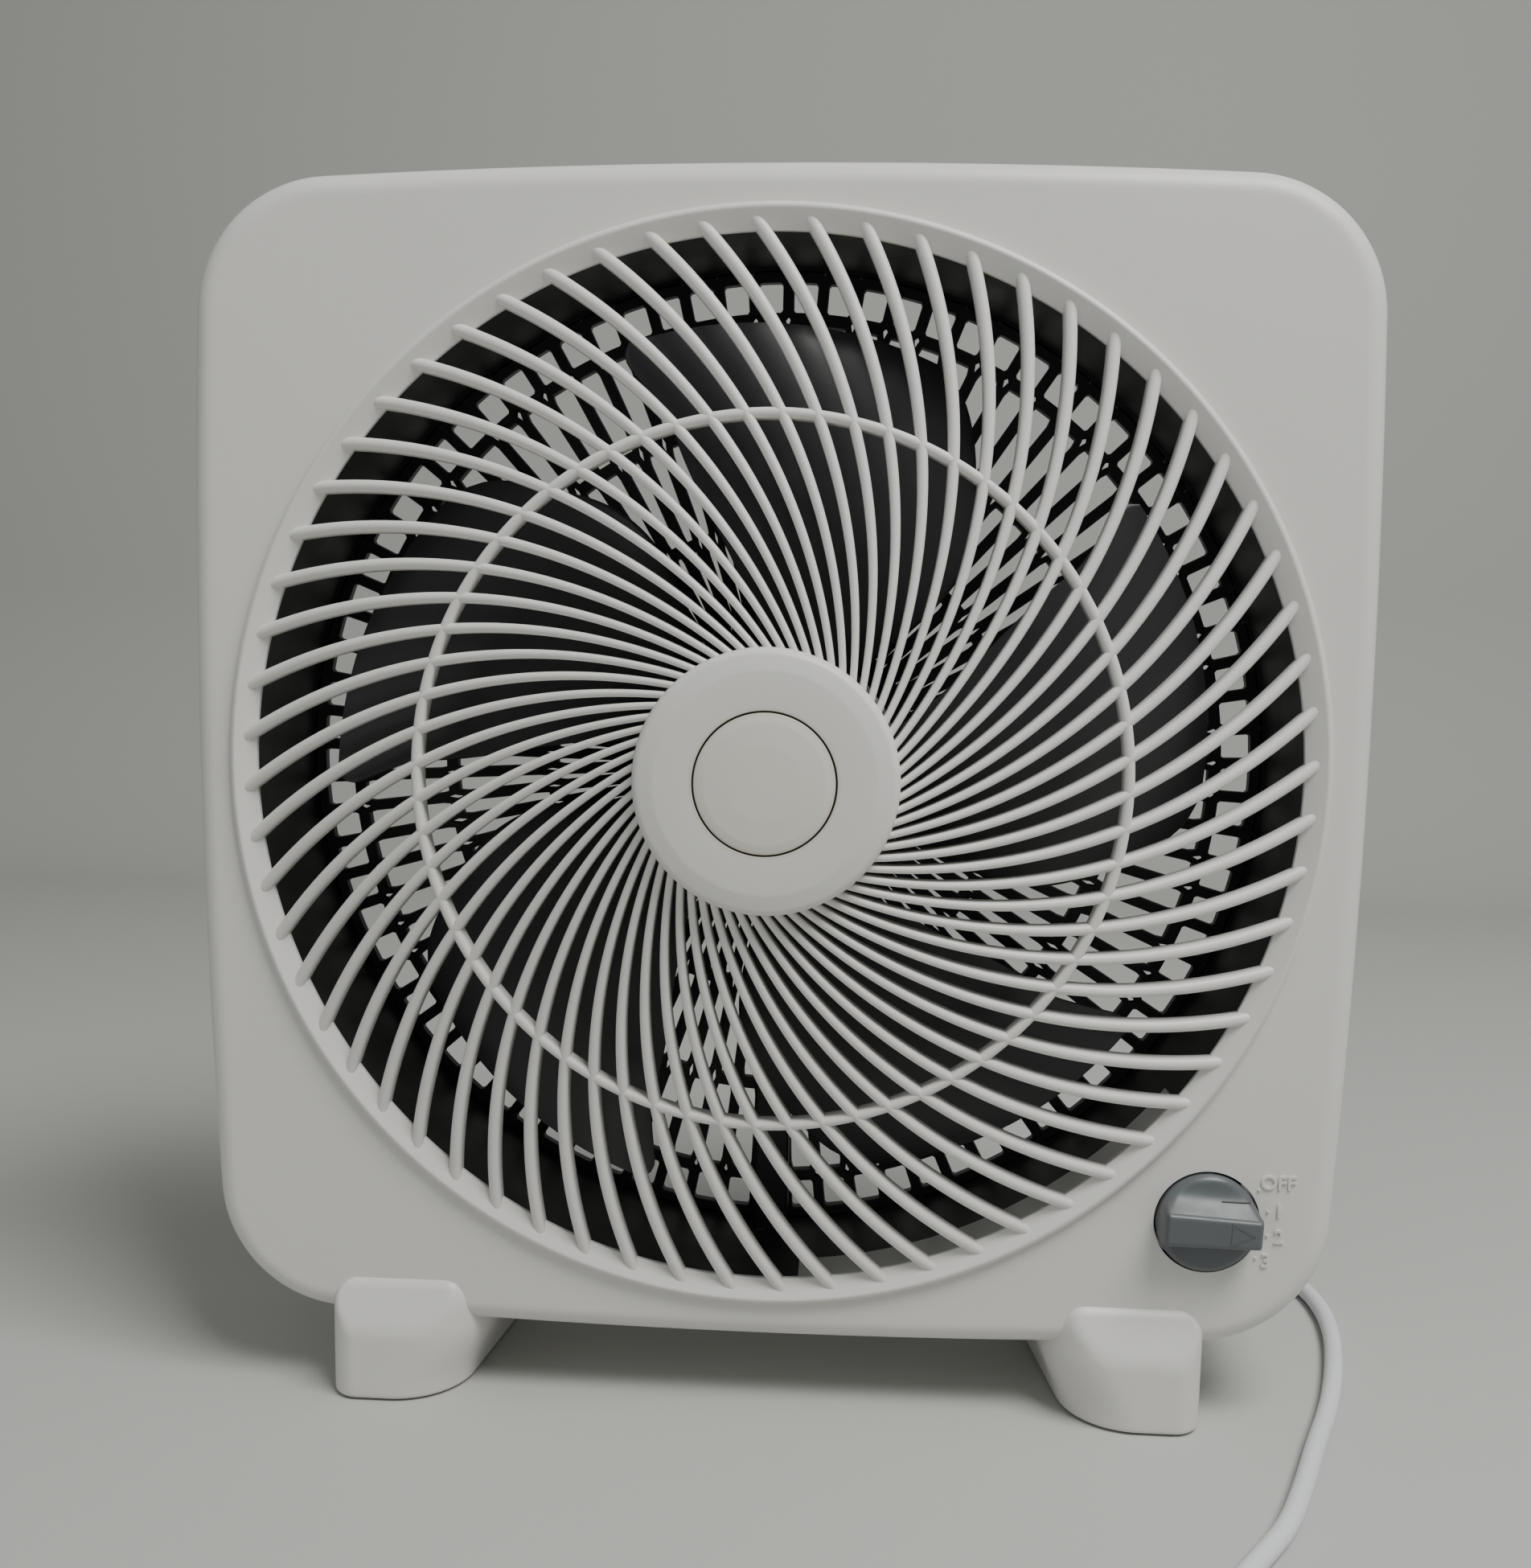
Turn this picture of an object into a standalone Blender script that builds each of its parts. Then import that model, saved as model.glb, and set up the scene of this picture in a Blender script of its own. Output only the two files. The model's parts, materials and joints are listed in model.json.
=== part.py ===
# A 300 mm (12 inch) box fan: a square casing with a domed swirl grille in front, a five-blade rotor
# on a shaded-pole motor, a slotted grille behind, a speed knob and a mains lead.
#
# Everything is modelled in the fan's own frame, in metres: the blade turns about the line
# x = 0, z = 0, +Y runs from front to back, and y = 0 is where the rounded front edge of the casing
# meets its side wall. STAND then puts the whole fan on its feet, centred front to back.
import math

import bmesh
import bpy
from mathutils import Matrix, Vector

# Casing
CASING_WIDTH = 0.390
CASING_HEIGHT = 0.3907
SIDE_BOW = 0.0057  # how far each side wall bulges out at its middle
TOP_BOW = 0.0061  # the same for the top and the bottom
CORNER_RADIUS = 0.046
EDGE_ROUND = 0.0075  # radius between face and side wall
SHELL_DEPTH = 0.056  # from y = 0 to the rim where the rear cover begins
COVER_DEPTH = 0.0137
WALL = 0.0025
FIT = 0.0004  # clearance between pieces that seat in each other
SEAT = 0.0003  # gap between faces that rest on each other

# Opening, grilles and air duct
OPENING_RADIUS = 0.1762
RIM_WIDTH = 0.0053  # how far the grille's bead laps over the casing face
RIM_HEIGHT = 0.0028
RIM_INNER_RADIUS = 0.1731
RIB_COUNT = 64
RIB_ARC_RADIUS = 0.1913  # each rib is a circular arc in front view
RIB_ARC_CENTRE = 0.1701  # distance of that arc's centre from the fan axis
RIB_PHASE = math.radians(1.77)
RIB_WIDTH_HUB = 0.0023
RIB_WIDTH_RIM = 0.0040
RIB_DEPTH = 0.0068
RIB_DEPTH_RIM = 0.0045
GRILLE_RISE = 0.0232  # how far the ribs stand further forward at the hub than at the rim
GRILLE_BULGE = 0.0012
MIDDLE_RING_RADIUS = 0.115
MIDDLE_RING_WIDTH = 0.0034
HUB_RADIUS = 0.0422
HUB_STANDS_OUT = 0.0076  # hub cap ahead of the ribs' inner ends
HUB_WALL = 0.0024
BADGE_RADIUS = 0.0220
BADGE_DOME = 0.0013
BADGE_DEPTH = 0.0022
DUCT_WALL = 0.0022
REAR_RIM_WIDTH = 0.0041
REAR_ROWS = (0.0106, 0.0318, 0.0341, 0.0300)  # slot lengths of the rear grille, from the rim inwards
REAR_RING_WIDTH = 0.0045
REAR_BAR_COUNT = 30
REAR_BAR_WIDTH = 0.0026
REAR_GRILLE_THICK = 0.0040
BAY_WALL_DEPTH = 0.034
BAY_WALL_ANGLES = (-86.0, -38.0)

# Blade and motor
BLADE_COUNT = 5
BLADE_TIP_CLEARANCE = 0.0286  # from blade tip to duct
BLADE_HUB_RADIUS = 0.040
BLADE_HUB_DEPTH = 0.032
BLADE_THICK = 0.0020
BLADE_SWEEP = math.radians(58.0)
MOTOR_RADIUS = 0.044
MOTOR_LENGTH = 0.042
STATOR_LENGTH = 0.016
SHAFT_RADIUS = 0.004
BEARING_RADIUS = 0.009
BEARING_LENGTH = 0.008
ROTOR_RADIUS = 0.0200
MOTOR_SCREW_CIRCLE = 0.030
BOSS_LENGTH = 0.018
BOSS_RADIUS = 0.0085
PIN_DRIVE_RADIUS = 0.0012

# Knob and switch
KNOB_INSET = 0.0456  # knob axis from the casing's right side
KNOB_RISE = 0.0482  # and from its underside
KNOB_RADIUS = 0.0170
KNOB_REACH = 0.0110  # how far the grip stands out of the face
KNOB_REST_ANGLE = math.radians(-2.0)
GRIP_WIDTH = 0.0114
SWITCH_SIZE = 0.028
SWITCH_DEPTH = 0.0155
SPINDLE_RADIUS = 0.0030

# Feet, moulded with the front shell
FOOT_INSET = 0.0448  # from the casing's side to the foot's outer side
FOOT_WIDTH_FRONT = 0.0437
FOOT_WIDTH_REAR = 0.0549
FOOT_FLARE_FRONT = 0.0085  # how much further inwards the foot's inner side stands at the top
FOOT_FLARE_REAR = 0.0020
FOOT_OUTER_ROUND = 0.0100
FOOT_INNER_ROUND = 0.0250  # at the sole
FOOT_INNER_ROUND_TOP = 0.0240
FOOT_REAR_ROUND = 0.0080
FOOT_HEIGHT = 0.0241  # under the casing's lowest line
FOOT_LEAD = 0.0155  # how far the foot stands ahead of y = 0
FOOT_REAR = 0.0778
FOOT_SHOULDER = 0.0005  # height over the casing's lowest line where the front begins to slope
FOOT_TOP = 0.0172  # how far its sloped top laps up the face
FOOT_SHELF = 0.0010  # drop of the foot's rear end under the rear cover
PAD_INSET = 0.0240  # from the foot's outer side
PAD_FROM_FRONT = 0.0200
PAD_FROM_REAR = 0.0160
PAD_RADIUS = 0.0075
PAD_STANDS_OUT = 0.0006
PAD_DEPTH = 0.0018
SCREW_OUT = 0.030  # case screws stand this far out from each corner's centre, along its diagonal
SCREW_RADIUS = 0.0016

# Mains lead, with its length put away in a coil
CORD_DIAMETER = 0.0065
COIL_CENTRE = (0.1475, -0.1600)  # in the fan's frame
COIL_MIDDLE_RADIUS = 0.0380
COIL_STRANDS = 5  # turns lie round the section like the strands of a rope, touching each other
COIL_PLAY = 0.0004
GLAND_LENGTH = 0.028
GLAND_ASIDE = 0.0055  # strain relief from the knob's axis, towards the middle
GLAND_DROP = 0.0245
LEAD_RADIUS = 0.0022
CHANNEL_WIDTH = 0.0130
CHANNEL_DEPTH = 0.0125
CHANNEL_WALL = 0.0016
PLUG_LENGTH = 0.034
PLUG_REAR = (0.0700, -0.2060)
PLUG_HEIGHT = 0.0170
PIN_RADIUS = 0.0020
PIN_LENGTH = 0.019
PIN_SPACING = 0.019

# Derived places
HALF_W = CASING_WIDTH / 2
HALF_H = CASING_HEIGHT / 2
FACE_Y = -EDGE_ROUND
COVER_Y = SHELL_DEPTH + SEAT
BACK_Y = COVER_Y + COVER_DEPTH
SOLE_Z = -HALF_H - FOOT_HEIGHT
FLOOR_Z = SOLE_Z - PAD_STANDS_OUT
DUCT_RADIUS = OPENING_RADIUS + 0.0024
RIM_Y = FACE_Y - SEAT
RIB_RIM_Y = RIM_Y - 0.0012
RIB_HUB_Y = RIB_RIM_Y - GRILLE_RISE
HUB_FRONT_Y = RIB_HUB_Y - HUB_STANDS_OUT
BADGE_FRONT_Y = HUB_FRONT_Y - BADGE_DOME
GRILLE_BACK_Y = BACK_Y - 0.0035
GRILLE_FRONT_Y = GRILLE_BACK_Y - REAR_GRILLE_THICK
MOTOR_BACK_Y = GRILLE_FRONT_Y - SEAT
MOTOR_FRONT_Y = MOTOR_BACK_Y - MOTOR_LENGTH
BLADE_BACK_Y = MOTOR_FRONT_Y - 0.0025
BLADE_FRONT_Y = BLADE_BACK_Y - BLADE_HUB_DEPTH
LEAD_Y = GRILLE_FRONT_Y - 0.0068
BLADE_RADIUS = DUCT_RADIUS - BLADE_TIP_CLEARANCE
STAND = Vector((0.0, -(BADGE_FRONT_Y + FOOT_REAR) / 2, -FLOOR_Z))


def material(name, colour, roughness, metallic=0.0):
    made = bpy.data.materials.new(name)
    made.use_nodes = True
    shader = made.node_tree.nodes["Principled BSDF"]
    shader.inputs["Base Color"].default_value = (*colour, 1.0)
    shader.inputs["Roughness"].default_value = roughness
    shader.inputs["Metallic"].default_value = metallic
    made.diffuse_color = (*colour, 1.0)
    return made


def finish(name, shape, finish_of, smooth=True):
    """Turns a bmesh into an object standing in the fan's place."""
    bmesh.ops.recalc_face_normals(shape, faces=shape.faces)
    mesh = bpy.data.meshes.new(name)
    shape.to_mesh(mesh)
    shape.free()
    if smooth:
        mesh.shade_smooth()
        mesh.set_sharp_from_angle(angle=math.radians(35))
    made = bpy.data.objects.new(name, mesh)
    made.location = STAND
    if finish_of:
        mesh.materials.append(finish_of)
    bpy.context.scene.collection.objects.link(made)
    return made


def turned(name, profile, steps, finish_of=None, centre=(0.0, 0.0, 0.0), axis="Y"):
    """Spins a closed (radius, height) outline about an axis through centre."""
    shape = bmesh.new()
    to_axis = {
        "Y": lambda r, t: Vector((r, t, 0.0)),
        "Z": lambda r, t: Vector((r, 0.0, t)),
        "X": lambda r, t: Vector((t, r, 0.0)),
    }[axis]
    middle = Vector(centre)
    points = [shape.verts.new(middle + to_axis(r, t)) for r, t in profile]
    edges = [shape.edges.new((a, b)) for a, b in zip(points, points[1:] + points[:1])]
    bmesh.ops.spin(
        shape,
        geom=points + edges,
        cent=middle,
        axis={"X": (1, 0, 0), "Y": (0, 1, 0), "Z": (0, 0, 1)}[axis],
        angle=2 * math.pi,
        steps=steps,
        use_merge=True,
    )
    bmesh.ops.remove_doubles(shape, verts=shape.verts, dist=1e-6)
    bmesh.ops.dissolve_degenerate(shape, edges=shape.edges, dist=1e-7)
    return finish(name, shape, finish_of)


def loft(name, rings, finish_of=None):
    """Skins rings of equally many points and closes both ends."""
    shape = bmesh.new()
    rows = [[shape.verts.new(p) for p in ring] for ring in rings]
    for low, high in zip(rows, rows[1:]):
        for i in range(len(low)):
            j = (i + 1) % len(low)
            shape.faces.new((low[i], low[j], high[j], high[i]))
    shape.faces.new(rows[0])
    shape.faces.new(rows[-1])
    return finish(name, shape, finish_of)


def prism(name, outline, low, high, finish_of=None, axis="Y"):
    """Extrudes an outline along an axis; the outline holds the other two coordinates in order."""
    place = {
        "X": lambda a, b, t: (t, a, b),
        "Y": lambda a, b, t: (a, t, b),
        "Z": lambda a, b, t: (a, b, t),
    }[axis]
    return loft(name, [[place(a, b, t) for a, b in outline] for t in (low, high)], finish_of)


def block(name, low, high, finish_of=None):
    x0, y0, z0 = low
    x1, y1, z1 = high
    return prism(name, [(x0, z0), (x1, z0), (x1, z1), (x0, z1)], y0, y1, finish_of)


def disc(name, centre, radius, low, high, steps=24, finish_of=None):
    """A round bar along Y at (x, z) = centre."""
    x, z = centre
    return turned(
        name,
        [(0.0, low), (radius, low), (radius, high), (0.0, high)],
        steps,
        finish_of,
        centre=(x, 0.0, z),
    )


def merge(name, pieces):
    """One object from several meshes, without joining their surfaces."""
    shape = bmesh.new()
    for piece in pieces:
        shape.from_mesh(piece.data)
        bpy.data.objects.remove(piece)
    return finish(name, shape, None)


def boolean(target, others, operation):
    """Cuts, joins or intersects a target with one or several pieces in a single exact step."""
    step_name = f"{target.name}_{operation.lower()}_{len(target.modifiers)}"
    other = others[0] if len(others) == 1 else merge(step_name, others)
    other.hide_render = True
    other.display_type = "WIRE"
    step = target.modifiers.new(step_name, "BOOLEAN")
    step.object = other
    step.operation = operation
    step.solver = "EXACT"
    step.use_self = len(others) > 1
    return target


def cut(target, *cutters):
    return boolean(target, cutters, "DIFFERENCE")


def join(target, *others):
    return boolean(target, others, "UNION")


def lattice(name, rows, columns, point, solid, finish_of, filled=False):
    """A flat net bent to rings: point(i, j, back) places its knots, solid(i, j) fills its cells.

    Cell (i, j) lies between rows i and i + 1 and between columns j and j + 1. With filled, the
    area inside the first row is closed by a plate."""
    shape = bmesh.new()
    knots = [
        [[shape.verts.new(point(i, j, back)) for j in range(columns)] for i in range(rows)]
        for back in (False, True)
    ]
    front, rear = knots

    def is_solid(i, j):
        if i < 0:
            return filled
        return i < rows - 1 and solid(i, j % columns)

    def wall(i, j, m, n):
        shape.faces.new((front[i][j], front[m][n], rear[m][n], rear[i][j]))

    for i in range(rows - 1):
        for j in range(columns):
            if not is_solid(i, j):
                continue
            k = (j + 1) % columns
            for net in knots:
                shape.faces.new((net[i][j], net[i][k], net[i + 1][k], net[i + 1][j]))
            if not is_solid(i - 1, j):
                wall(i, j, i, k)
            if not is_solid(i + 1, j):
                wall(i + 1, j, i + 1, k)
            if not is_solid(i, j - 1):
                wall(i, j, i + 1, j)
            if not is_solid(i, j + 1):
                wall(i, k, i + 1, k)
    if filled:
        for j in range(columns):
            if not is_solid(0, j):
                wall(0, j, 0, (j + 1) % columns)
        for net in knots:
            shape.faces.new(net[0])
    loose = [v for v in shape.verts if not v.link_faces]
    bmesh.ops.delete(shape, geom=loose, context="VERTS")
    return finish(name, shape, finish_of)


def arc(centre, radius, start, end, steps):
    """Points on an arc, angles in radians, both ends included."""
    return [
        (
            centre[0] + radius * math.cos(start + (end - start) * i / steps),
            centre[1] + radius * math.sin(start + (end - start) * i / steps),
        )
        for i in range(steps + 1)
    ]


def corner_of_casing():
    """Centre of the casing's upper right corner arc: it touches both bowed walls from inside."""
    side_r = (HALF_H**2) / (2 * SIDE_BOW)
    top_r = (HALF_W**2) / (2 * TOP_BOW)
    side_c = Vector((HALF_W - side_r, 0.0))
    top_c = Vector((0.0, HALF_H - top_r))
    a, b = side_r - CORNER_RADIUS, top_r - CORNER_RADIUS
    between = top_c - side_c
    far = between.length
    along = (a * a - b * b + far * far) / (2 * far)
    across = math.sqrt(a * a - along * along)
    unit = between / far
    options = [side_c + unit * along + Vector((-unit.y, unit.x)) * s * across for s in (1, -1)]
    return max(options, key=lambda p: p.x + p.y), side_c, side_r, top_c, top_r


def casing_outline(inset, side_steps=3, corner_steps=6):
    """The casing's front view, moved inwards by inset: four bowed walls and four corner arcs."""
    centre, side_c, side_r, top_c, top_r = corner_of_casing()
    turn_in = math.atan2(centre.y - side_c.y, centre.x - side_c.x)
    turn_out = math.atan2(centre.y - top_c.y, centre.x - top_c.x)
    quarter = arc(side_c, side_r - inset, 0.0, turn_in, side_steps)
    quarter += arc(centre, CORNER_RADIUS - inset, turn_in, turn_out, corner_steps)[1:]
    quarter += arc(top_c, top_r - inset, turn_out, math.pi / 2, side_steps)[1:]
    left = [(-x, z) for x, z in reversed(quarter[:-1])]
    upper = quarter + left
    lower = [(x, -z) for x, z in reversed(upper[1:-1])]
    return upper + lower


def casing_ring(inset, y):
    return [(x, y, z) for x, z in casing_outline(inset)]


def four_ways(x, z):
    return [(x, z), (-x, z), (-x, -z), (x, -z)]


CORNER = corner_of_casing()[0]
DIAGONAL = SCREW_OUT * math.sqrt(0.5)
SCREWS_AT = four_ways(CORNER.x + DIAGONAL, CORNER.y + DIAGONAL)
MOTOR_DIAGONAL = MOTOR_SCREW_CIRCLE * math.sqrt(0.5)
MOTOR_SCREWS_AT = four_ways(MOTOR_DIAGONAL, MOTOR_DIAGONAL)
KNOB_AT = (HALF_W - KNOB_INSET, -HALF_H + KNOB_RISE)
GLAND_AT = (KNOB_AT[0] - GLAND_ASIDE, KNOB_AT[1] - GLAND_DROP)
FOOT_OUTER_X = HALF_W - FOOT_INSET
PAD_X = FOOT_OUTER_X - PAD_INSET
PAD_FRONT_Y = -FOOT_LEAD + PAD_FROM_FRONT
PAD_REAR_Y = FOOT_REAR - PAD_FROM_REAR
PADS_AT = [(x, y) for x in (PAD_X, -PAD_X) for y in (PAD_FRONT_Y, PAD_REAR_Y)]


def grille_top(r):
    """Front line of the ribs at a radius: a straight cone with a slight bulge."""
    t = (r - HUB_RADIUS) / (OPENING_RADIUS - HUB_RADIUS)
    return RIB_HUB_Y + GRILLE_RISE * t - 4 * GRILLE_BULGE * t * (1 - t)


def rounded(corners, steps=5):
    """An outline with each of its corners (x, y, radius) made an arc."""
    outline = []
    for i, (x, y, radius) in enumerate(corners):
        at = Vector((x, y))
        before = (Vector(corners[i - 1][:2]) - at).normalized()
        after = (Vector(corners[(i + 1) % len(corners)][:2]) - at).normalized()
        half = before.angle(after) / 2
        centre = at + (before + after).normalized() * radius / math.sin(half)
        start = at + before * radius / math.tan(half) - centre
        end = at + after * radius / math.tan(half) - centre
        turn = start.angle_signed(end)
        first = math.atan2(start.y, start.x)
        outline += arc(centre, radius, first, first - turn, steps)
    return outline


def foot(side, inset, name):
    """One foot's outer solid (inset 0) or the hollow inside it: a side view cut to flared plans."""
    front = -FOOT_LEAD + inset
    rear = SHELL_DEPTH - 0.004 if inset else FOOT_REAR
    sole = SOLE_Z + inset * 1.4
    shoulder = -HALF_H + FOOT_SHOULDER
    shelf = -HALF_H - FOOT_SHELF
    top = -HALF_H + FOOT_TOP
    if inset:
        side_view = [(front, sole), (rear, sole), (rear, top), (FACE_Y + WALL, top)]
        side_view += [(FACE_Y + WALL, -HALF_H + WALL), (front, shoulder)]
    else:
        side_view = [(front, sole), (rear, sole), (rear, shelf), (SHELL_DEPTH, shelf)]
        side_view += [(SHELL_DEPTH, top), (FACE_Y + 0.001, top), (front, shoulder)]

    def plan(z, flare, inner_round):
        outer = FOOT_OUTER_X - inset
        inner_front = FOOT_OUTER_X - FOOT_WIDTH_FRONT - flare * FOOT_FLARE_FRONT + inset
        inner_rear = FOOT_OUTER_X - FOOT_WIDTH_REAR - flare * FOOT_FLARE_REAR + inset
        corners = [(inner_front, front, inner_round - inset), (outer, front, FOOT_OUTER_ROUND - inset)]
        corners += [(outer, rear, FOOT_REAR_ROUND - inset), (inner_rear, rear, FOOT_REAR_ROUND - inset)]
        return [(side * x, y, z) for x, y in rounded(corners)]

    low, high = sole - 0.01, top + 0.01
    plans = [plan(low, 0, FOOT_INNER_ROUND), plan(sole, 0, FOOT_INNER_ROUND)]
    plans += [plan(z, 1, FOOT_INNER_ROUND_TOP) for z in (shelf, high)]
    near, far = sorted((0.0, side * HALF_W))
    solid = prism(name, side_view, near, far, axis="X")
    return boolean(solid, [loft(name + "_plan", plans)], "INTERSECT")


def front_shell(white):
    """Bowed square shell, open behind, with the two feet, the opening, bosses and the switch bay."""
    turns = [math.radians(a) for a in (0, 30, 60, 90)]
    outside = [casing_ring(0.0, SHELL_DEPTH)]
    outside += [
        casing_ring(EDGE_ROUND * (1 - math.cos(a)), -EDGE_ROUND * math.sin(a)) for a in turns
    ]
    shell = loft("front_shell", outside, white)
    join(shell, foot(1, 0.0, "foot_right_form"))
    join(shell, foot(-1, 0.0, "foot_left_form"))
    inner_round = EDGE_ROUND - WALL
    inside = [casing_ring(WALL, SHELL_DEPTH + 0.01)]
    inside += [
        casing_ring(WALL + inner_round * (1 - math.cos(a)), -inner_round * math.sin(a))
        for a in turns[::3]
    ]
    cut(shell, loft("shell_hollow", inside))
    cut(shell, foot(1, WALL, "foot_right_hollow"))
    cut(shell, foot(-1, WALL, "foot_left_hollow"))
    start, end = (math.radians(a) for a in BAY_WALL_ANGLES)
    bay = arc((0, 0), OPENING_RADIUS + 0.002, start, end, 12)
    bay += arc((0, 0), OPENING_RADIUS - 0.004, end, start, 12)
    forms = [prism("bay_wall_form", bay, FACE_Y + 0.001, BAY_WALL_DEPTH)]
    lip_outer = KNOB_RADIUS + 0.0008 + 0.002
    forms.append(disc("knob_lip_form", KNOB_AT, lip_outer, FACE_Y + 0.001, -0.0032, 24))
    holes = [
        disc("opening_cut", (0, 0), OPENING_RADIUS, -0.03, BAY_WALL_DEPTH + 0.01, 64),
        disc("knob_cut", KNOB_AT, KNOB_RADIUS + 0.0008, -0.03, 0.01, 24),
    ]
    for at in SCREWS_AT:
        forms.append(disc("boss_form", at, 0.0045, FACE_Y + 0.001, SHELL_DEPTH - 0.0004, 12))
        holes.append(disc("boss_hole", at, SCREW_RADIUS + SEAT, 0.030, SHELL_DEPTH + 0.01, 8))
    for x, y in PADS_AT:
        around = PAD_RADIUS + SEAT
        pocket = [(0, -0.02), (around, -0.02), (around, PAD_DEPTH), (0, PAD_DEPTH)]
        holes.append(turned("pad_cut", pocket, 16, centre=(x, y, SOLE_Z), axis="Z"))
    join(shell, *forms)
    return cut(shell, *holes)


def foot_pads(rubber):
    """Four rubber discs let into the soles."""
    top = PAD_DEPTH - SEAT
    profile = [(0, -PAD_STANDS_OUT), (PAD_RADIUS, -PAD_STANDS_OUT), (PAD_RADIUS, top), (0, top)]
    for i, (x, y) in enumerate(PADS_AT):
        turned(f"foot_pad_{i + 1}", profile, 16, rubber, centre=(x, y, SOLE_Z), axis="Z")


def grille_lattice(white):
    """The swirl ribs, the middle ring and the rim. Each rib is a circular arc in front view."""
    half = MIDDLE_RING_WIDTH / 2
    ring = (MIDDLE_RING_RADIUS - half, MIDDLE_RING_RADIUS + half)
    crest = OPENING_RADIUS + 0.0025
    first = HUB_RADIUS - 0.0012
    radii = (first, 0.076, *ring, RIM_INNER_RADIUS, OPENING_RADIUS - 0.0004, crest)
    radii += (OPENING_RADIUS + RIM_WIDTH,)
    ring_row = radii.index(ring[0])
    rim_row = radii.index(RIM_INNER_RADIUS)
    fronts = [grille_top(r) for r in radii[: rim_row + 1]]
    fronts += [fronts[-1] - 0.0009, RIM_Y - RIM_HEIGHT, RIM_Y - 0.0008]
    backs = [grille_top(r) + RIB_DEPTH for r in radii[:rim_row]]
    backs += [FACE_Y + 0.0025, RIM_Y, RIM_Y, RIM_Y]

    def point(i, j, back):
        r = radii[i]
        along = min(r, RIM_INNER_RADIUS)
        share = (along**2 + RIB_ARC_CENTRE**2 - RIB_ARC_RADIUS**2) / (2 * along * RIB_ARC_CENTRE)
        lean = math.acos(share)
        slant = (RIB_ARC_CENTRE * math.sin(lean)) / RIB_ARC_RADIUS
        grown = (along - HUB_RADIUS) / (RIM_INNER_RADIUS - HUB_RADIUS)
        width = RIB_WIDTH_HUB + (RIB_WIDTH_RIM - RIB_WIDTH_HUB) * max(grown, 0.0)
        width *= 1.0 if back else 0.84
        spread = width / (2 * along * math.sqrt(1 - slant**2))
        angle = RIB_PHASE + 2 * math.pi * (j // 2) / RIB_COUNT - lean
        angle += spread if j % 2 else -spread
        return (r * math.cos(angle), (backs if back else fronts)[i], r * math.sin(angle))

    def solid(i, j):
        return j % 2 == 0 or i == ring_row or i >= rim_row

    return lattice("front_grille", len(radii), 2 * RIB_COUNT, point, solid, white)


def front_grille(white):
    """Bead rim, swirl ribs, middle ring and hub cap in one moulding."""
    pocket = BADGE_RADIUS + FIT
    floor_y = HUB_FRONT_Y + BADGE_DEPTH
    inner = HUB_RADIUS - HUB_WALL
    back_y = RIB_HUB_Y + RIB_DEPTH + 0.0010
    hub = turned(
        "hub_cap_form",
        [
            (0.0, floor_y),
            (pocket, floor_y),
            (pocket, HUB_FRONT_Y),
            (HUB_RADIUS - 0.0045, HUB_FRONT_Y + 0.0012),
            (HUB_RADIUS - 0.0010, HUB_FRONT_Y + 0.0034),
            (HUB_RADIUS, RIB_HUB_Y - 0.0004),
            (HUB_RADIUS, back_y),
            (inner, back_y),
            (inner, floor_y + HUB_WALL),
            (0.0, floor_y + HUB_WALL),
        ],
        32,
    )
    return join(grille_lattice(white), hub)


def badge(cream):
    front, edge = BADGE_FRONT_Y, HUB_FRONT_Y
    back = HUB_FRONT_Y + BADGE_DEPTH - SEAT
    profile = [(0, back), (BADGE_RADIUS, back), (BADGE_RADIUS, edge), (0.021, edge - 0.0005)]
    return turned("badge_disc", profile + [(0.012, front + 0.0002), (0, front)], 28, cream)


def rear_cover(black):
    """Rear half of the casing with the air duct that runs forward to the grille."""
    turns = [math.radians(a) for a in (0, 45, 90)]
    edge = 0.0080
    straight = BACK_Y - edge
    outside = [casing_ring(0.0, COVER_Y)]
    outside += [
        casing_ring(edge * (1 - math.cos(a)), straight + edge * math.sin(a)) for a in turns
    ]
    cover = loft("rear_cover", outside, black)
    inner = edge - WALL
    inside = [casing_ring(WALL, COVER_Y - 0.01)]
    inside += [
        casing_ring(WALL + inner * (1 - math.cos(a)), straight + inner * math.sin(a))
        for a in turns[::2]
    ]
    cut(cover, loft("cover_hollow", inside))
    duct_front = FACE_Y + WALL + FIT
    join(cover, disc("duct_form", (0, 0), DUCT_RADIUS + DUCT_WALL, duct_front, BACK_Y - 0.001, 64))
    holes = [disc("duct_cut", (0, 0), DUCT_RADIUS, -0.03, BACK_Y + 0.02, 64)]
    for at in SCREWS_AT:
        holes.append(disc("cover_hole", at, SCREW_RADIUS + SEAT, COVER_Y - 0.02, BACK_Y + 0.01, 8))
    holes.append(disc("gland_hole", GLAND_AT, 0.0049, BACK_Y - 0.02, BACK_Y + 0.01, 16))
    low, high = -DUCT_RADIUS - 0.01, -DUCT_RADIUS + 0.01
    holes.append(block("lead_hole", (-0.004, LEAD_Y - 0.004, low), (0.004, LEAD_Y + 0.004, high)))
    return cut(cover, *holes)


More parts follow.
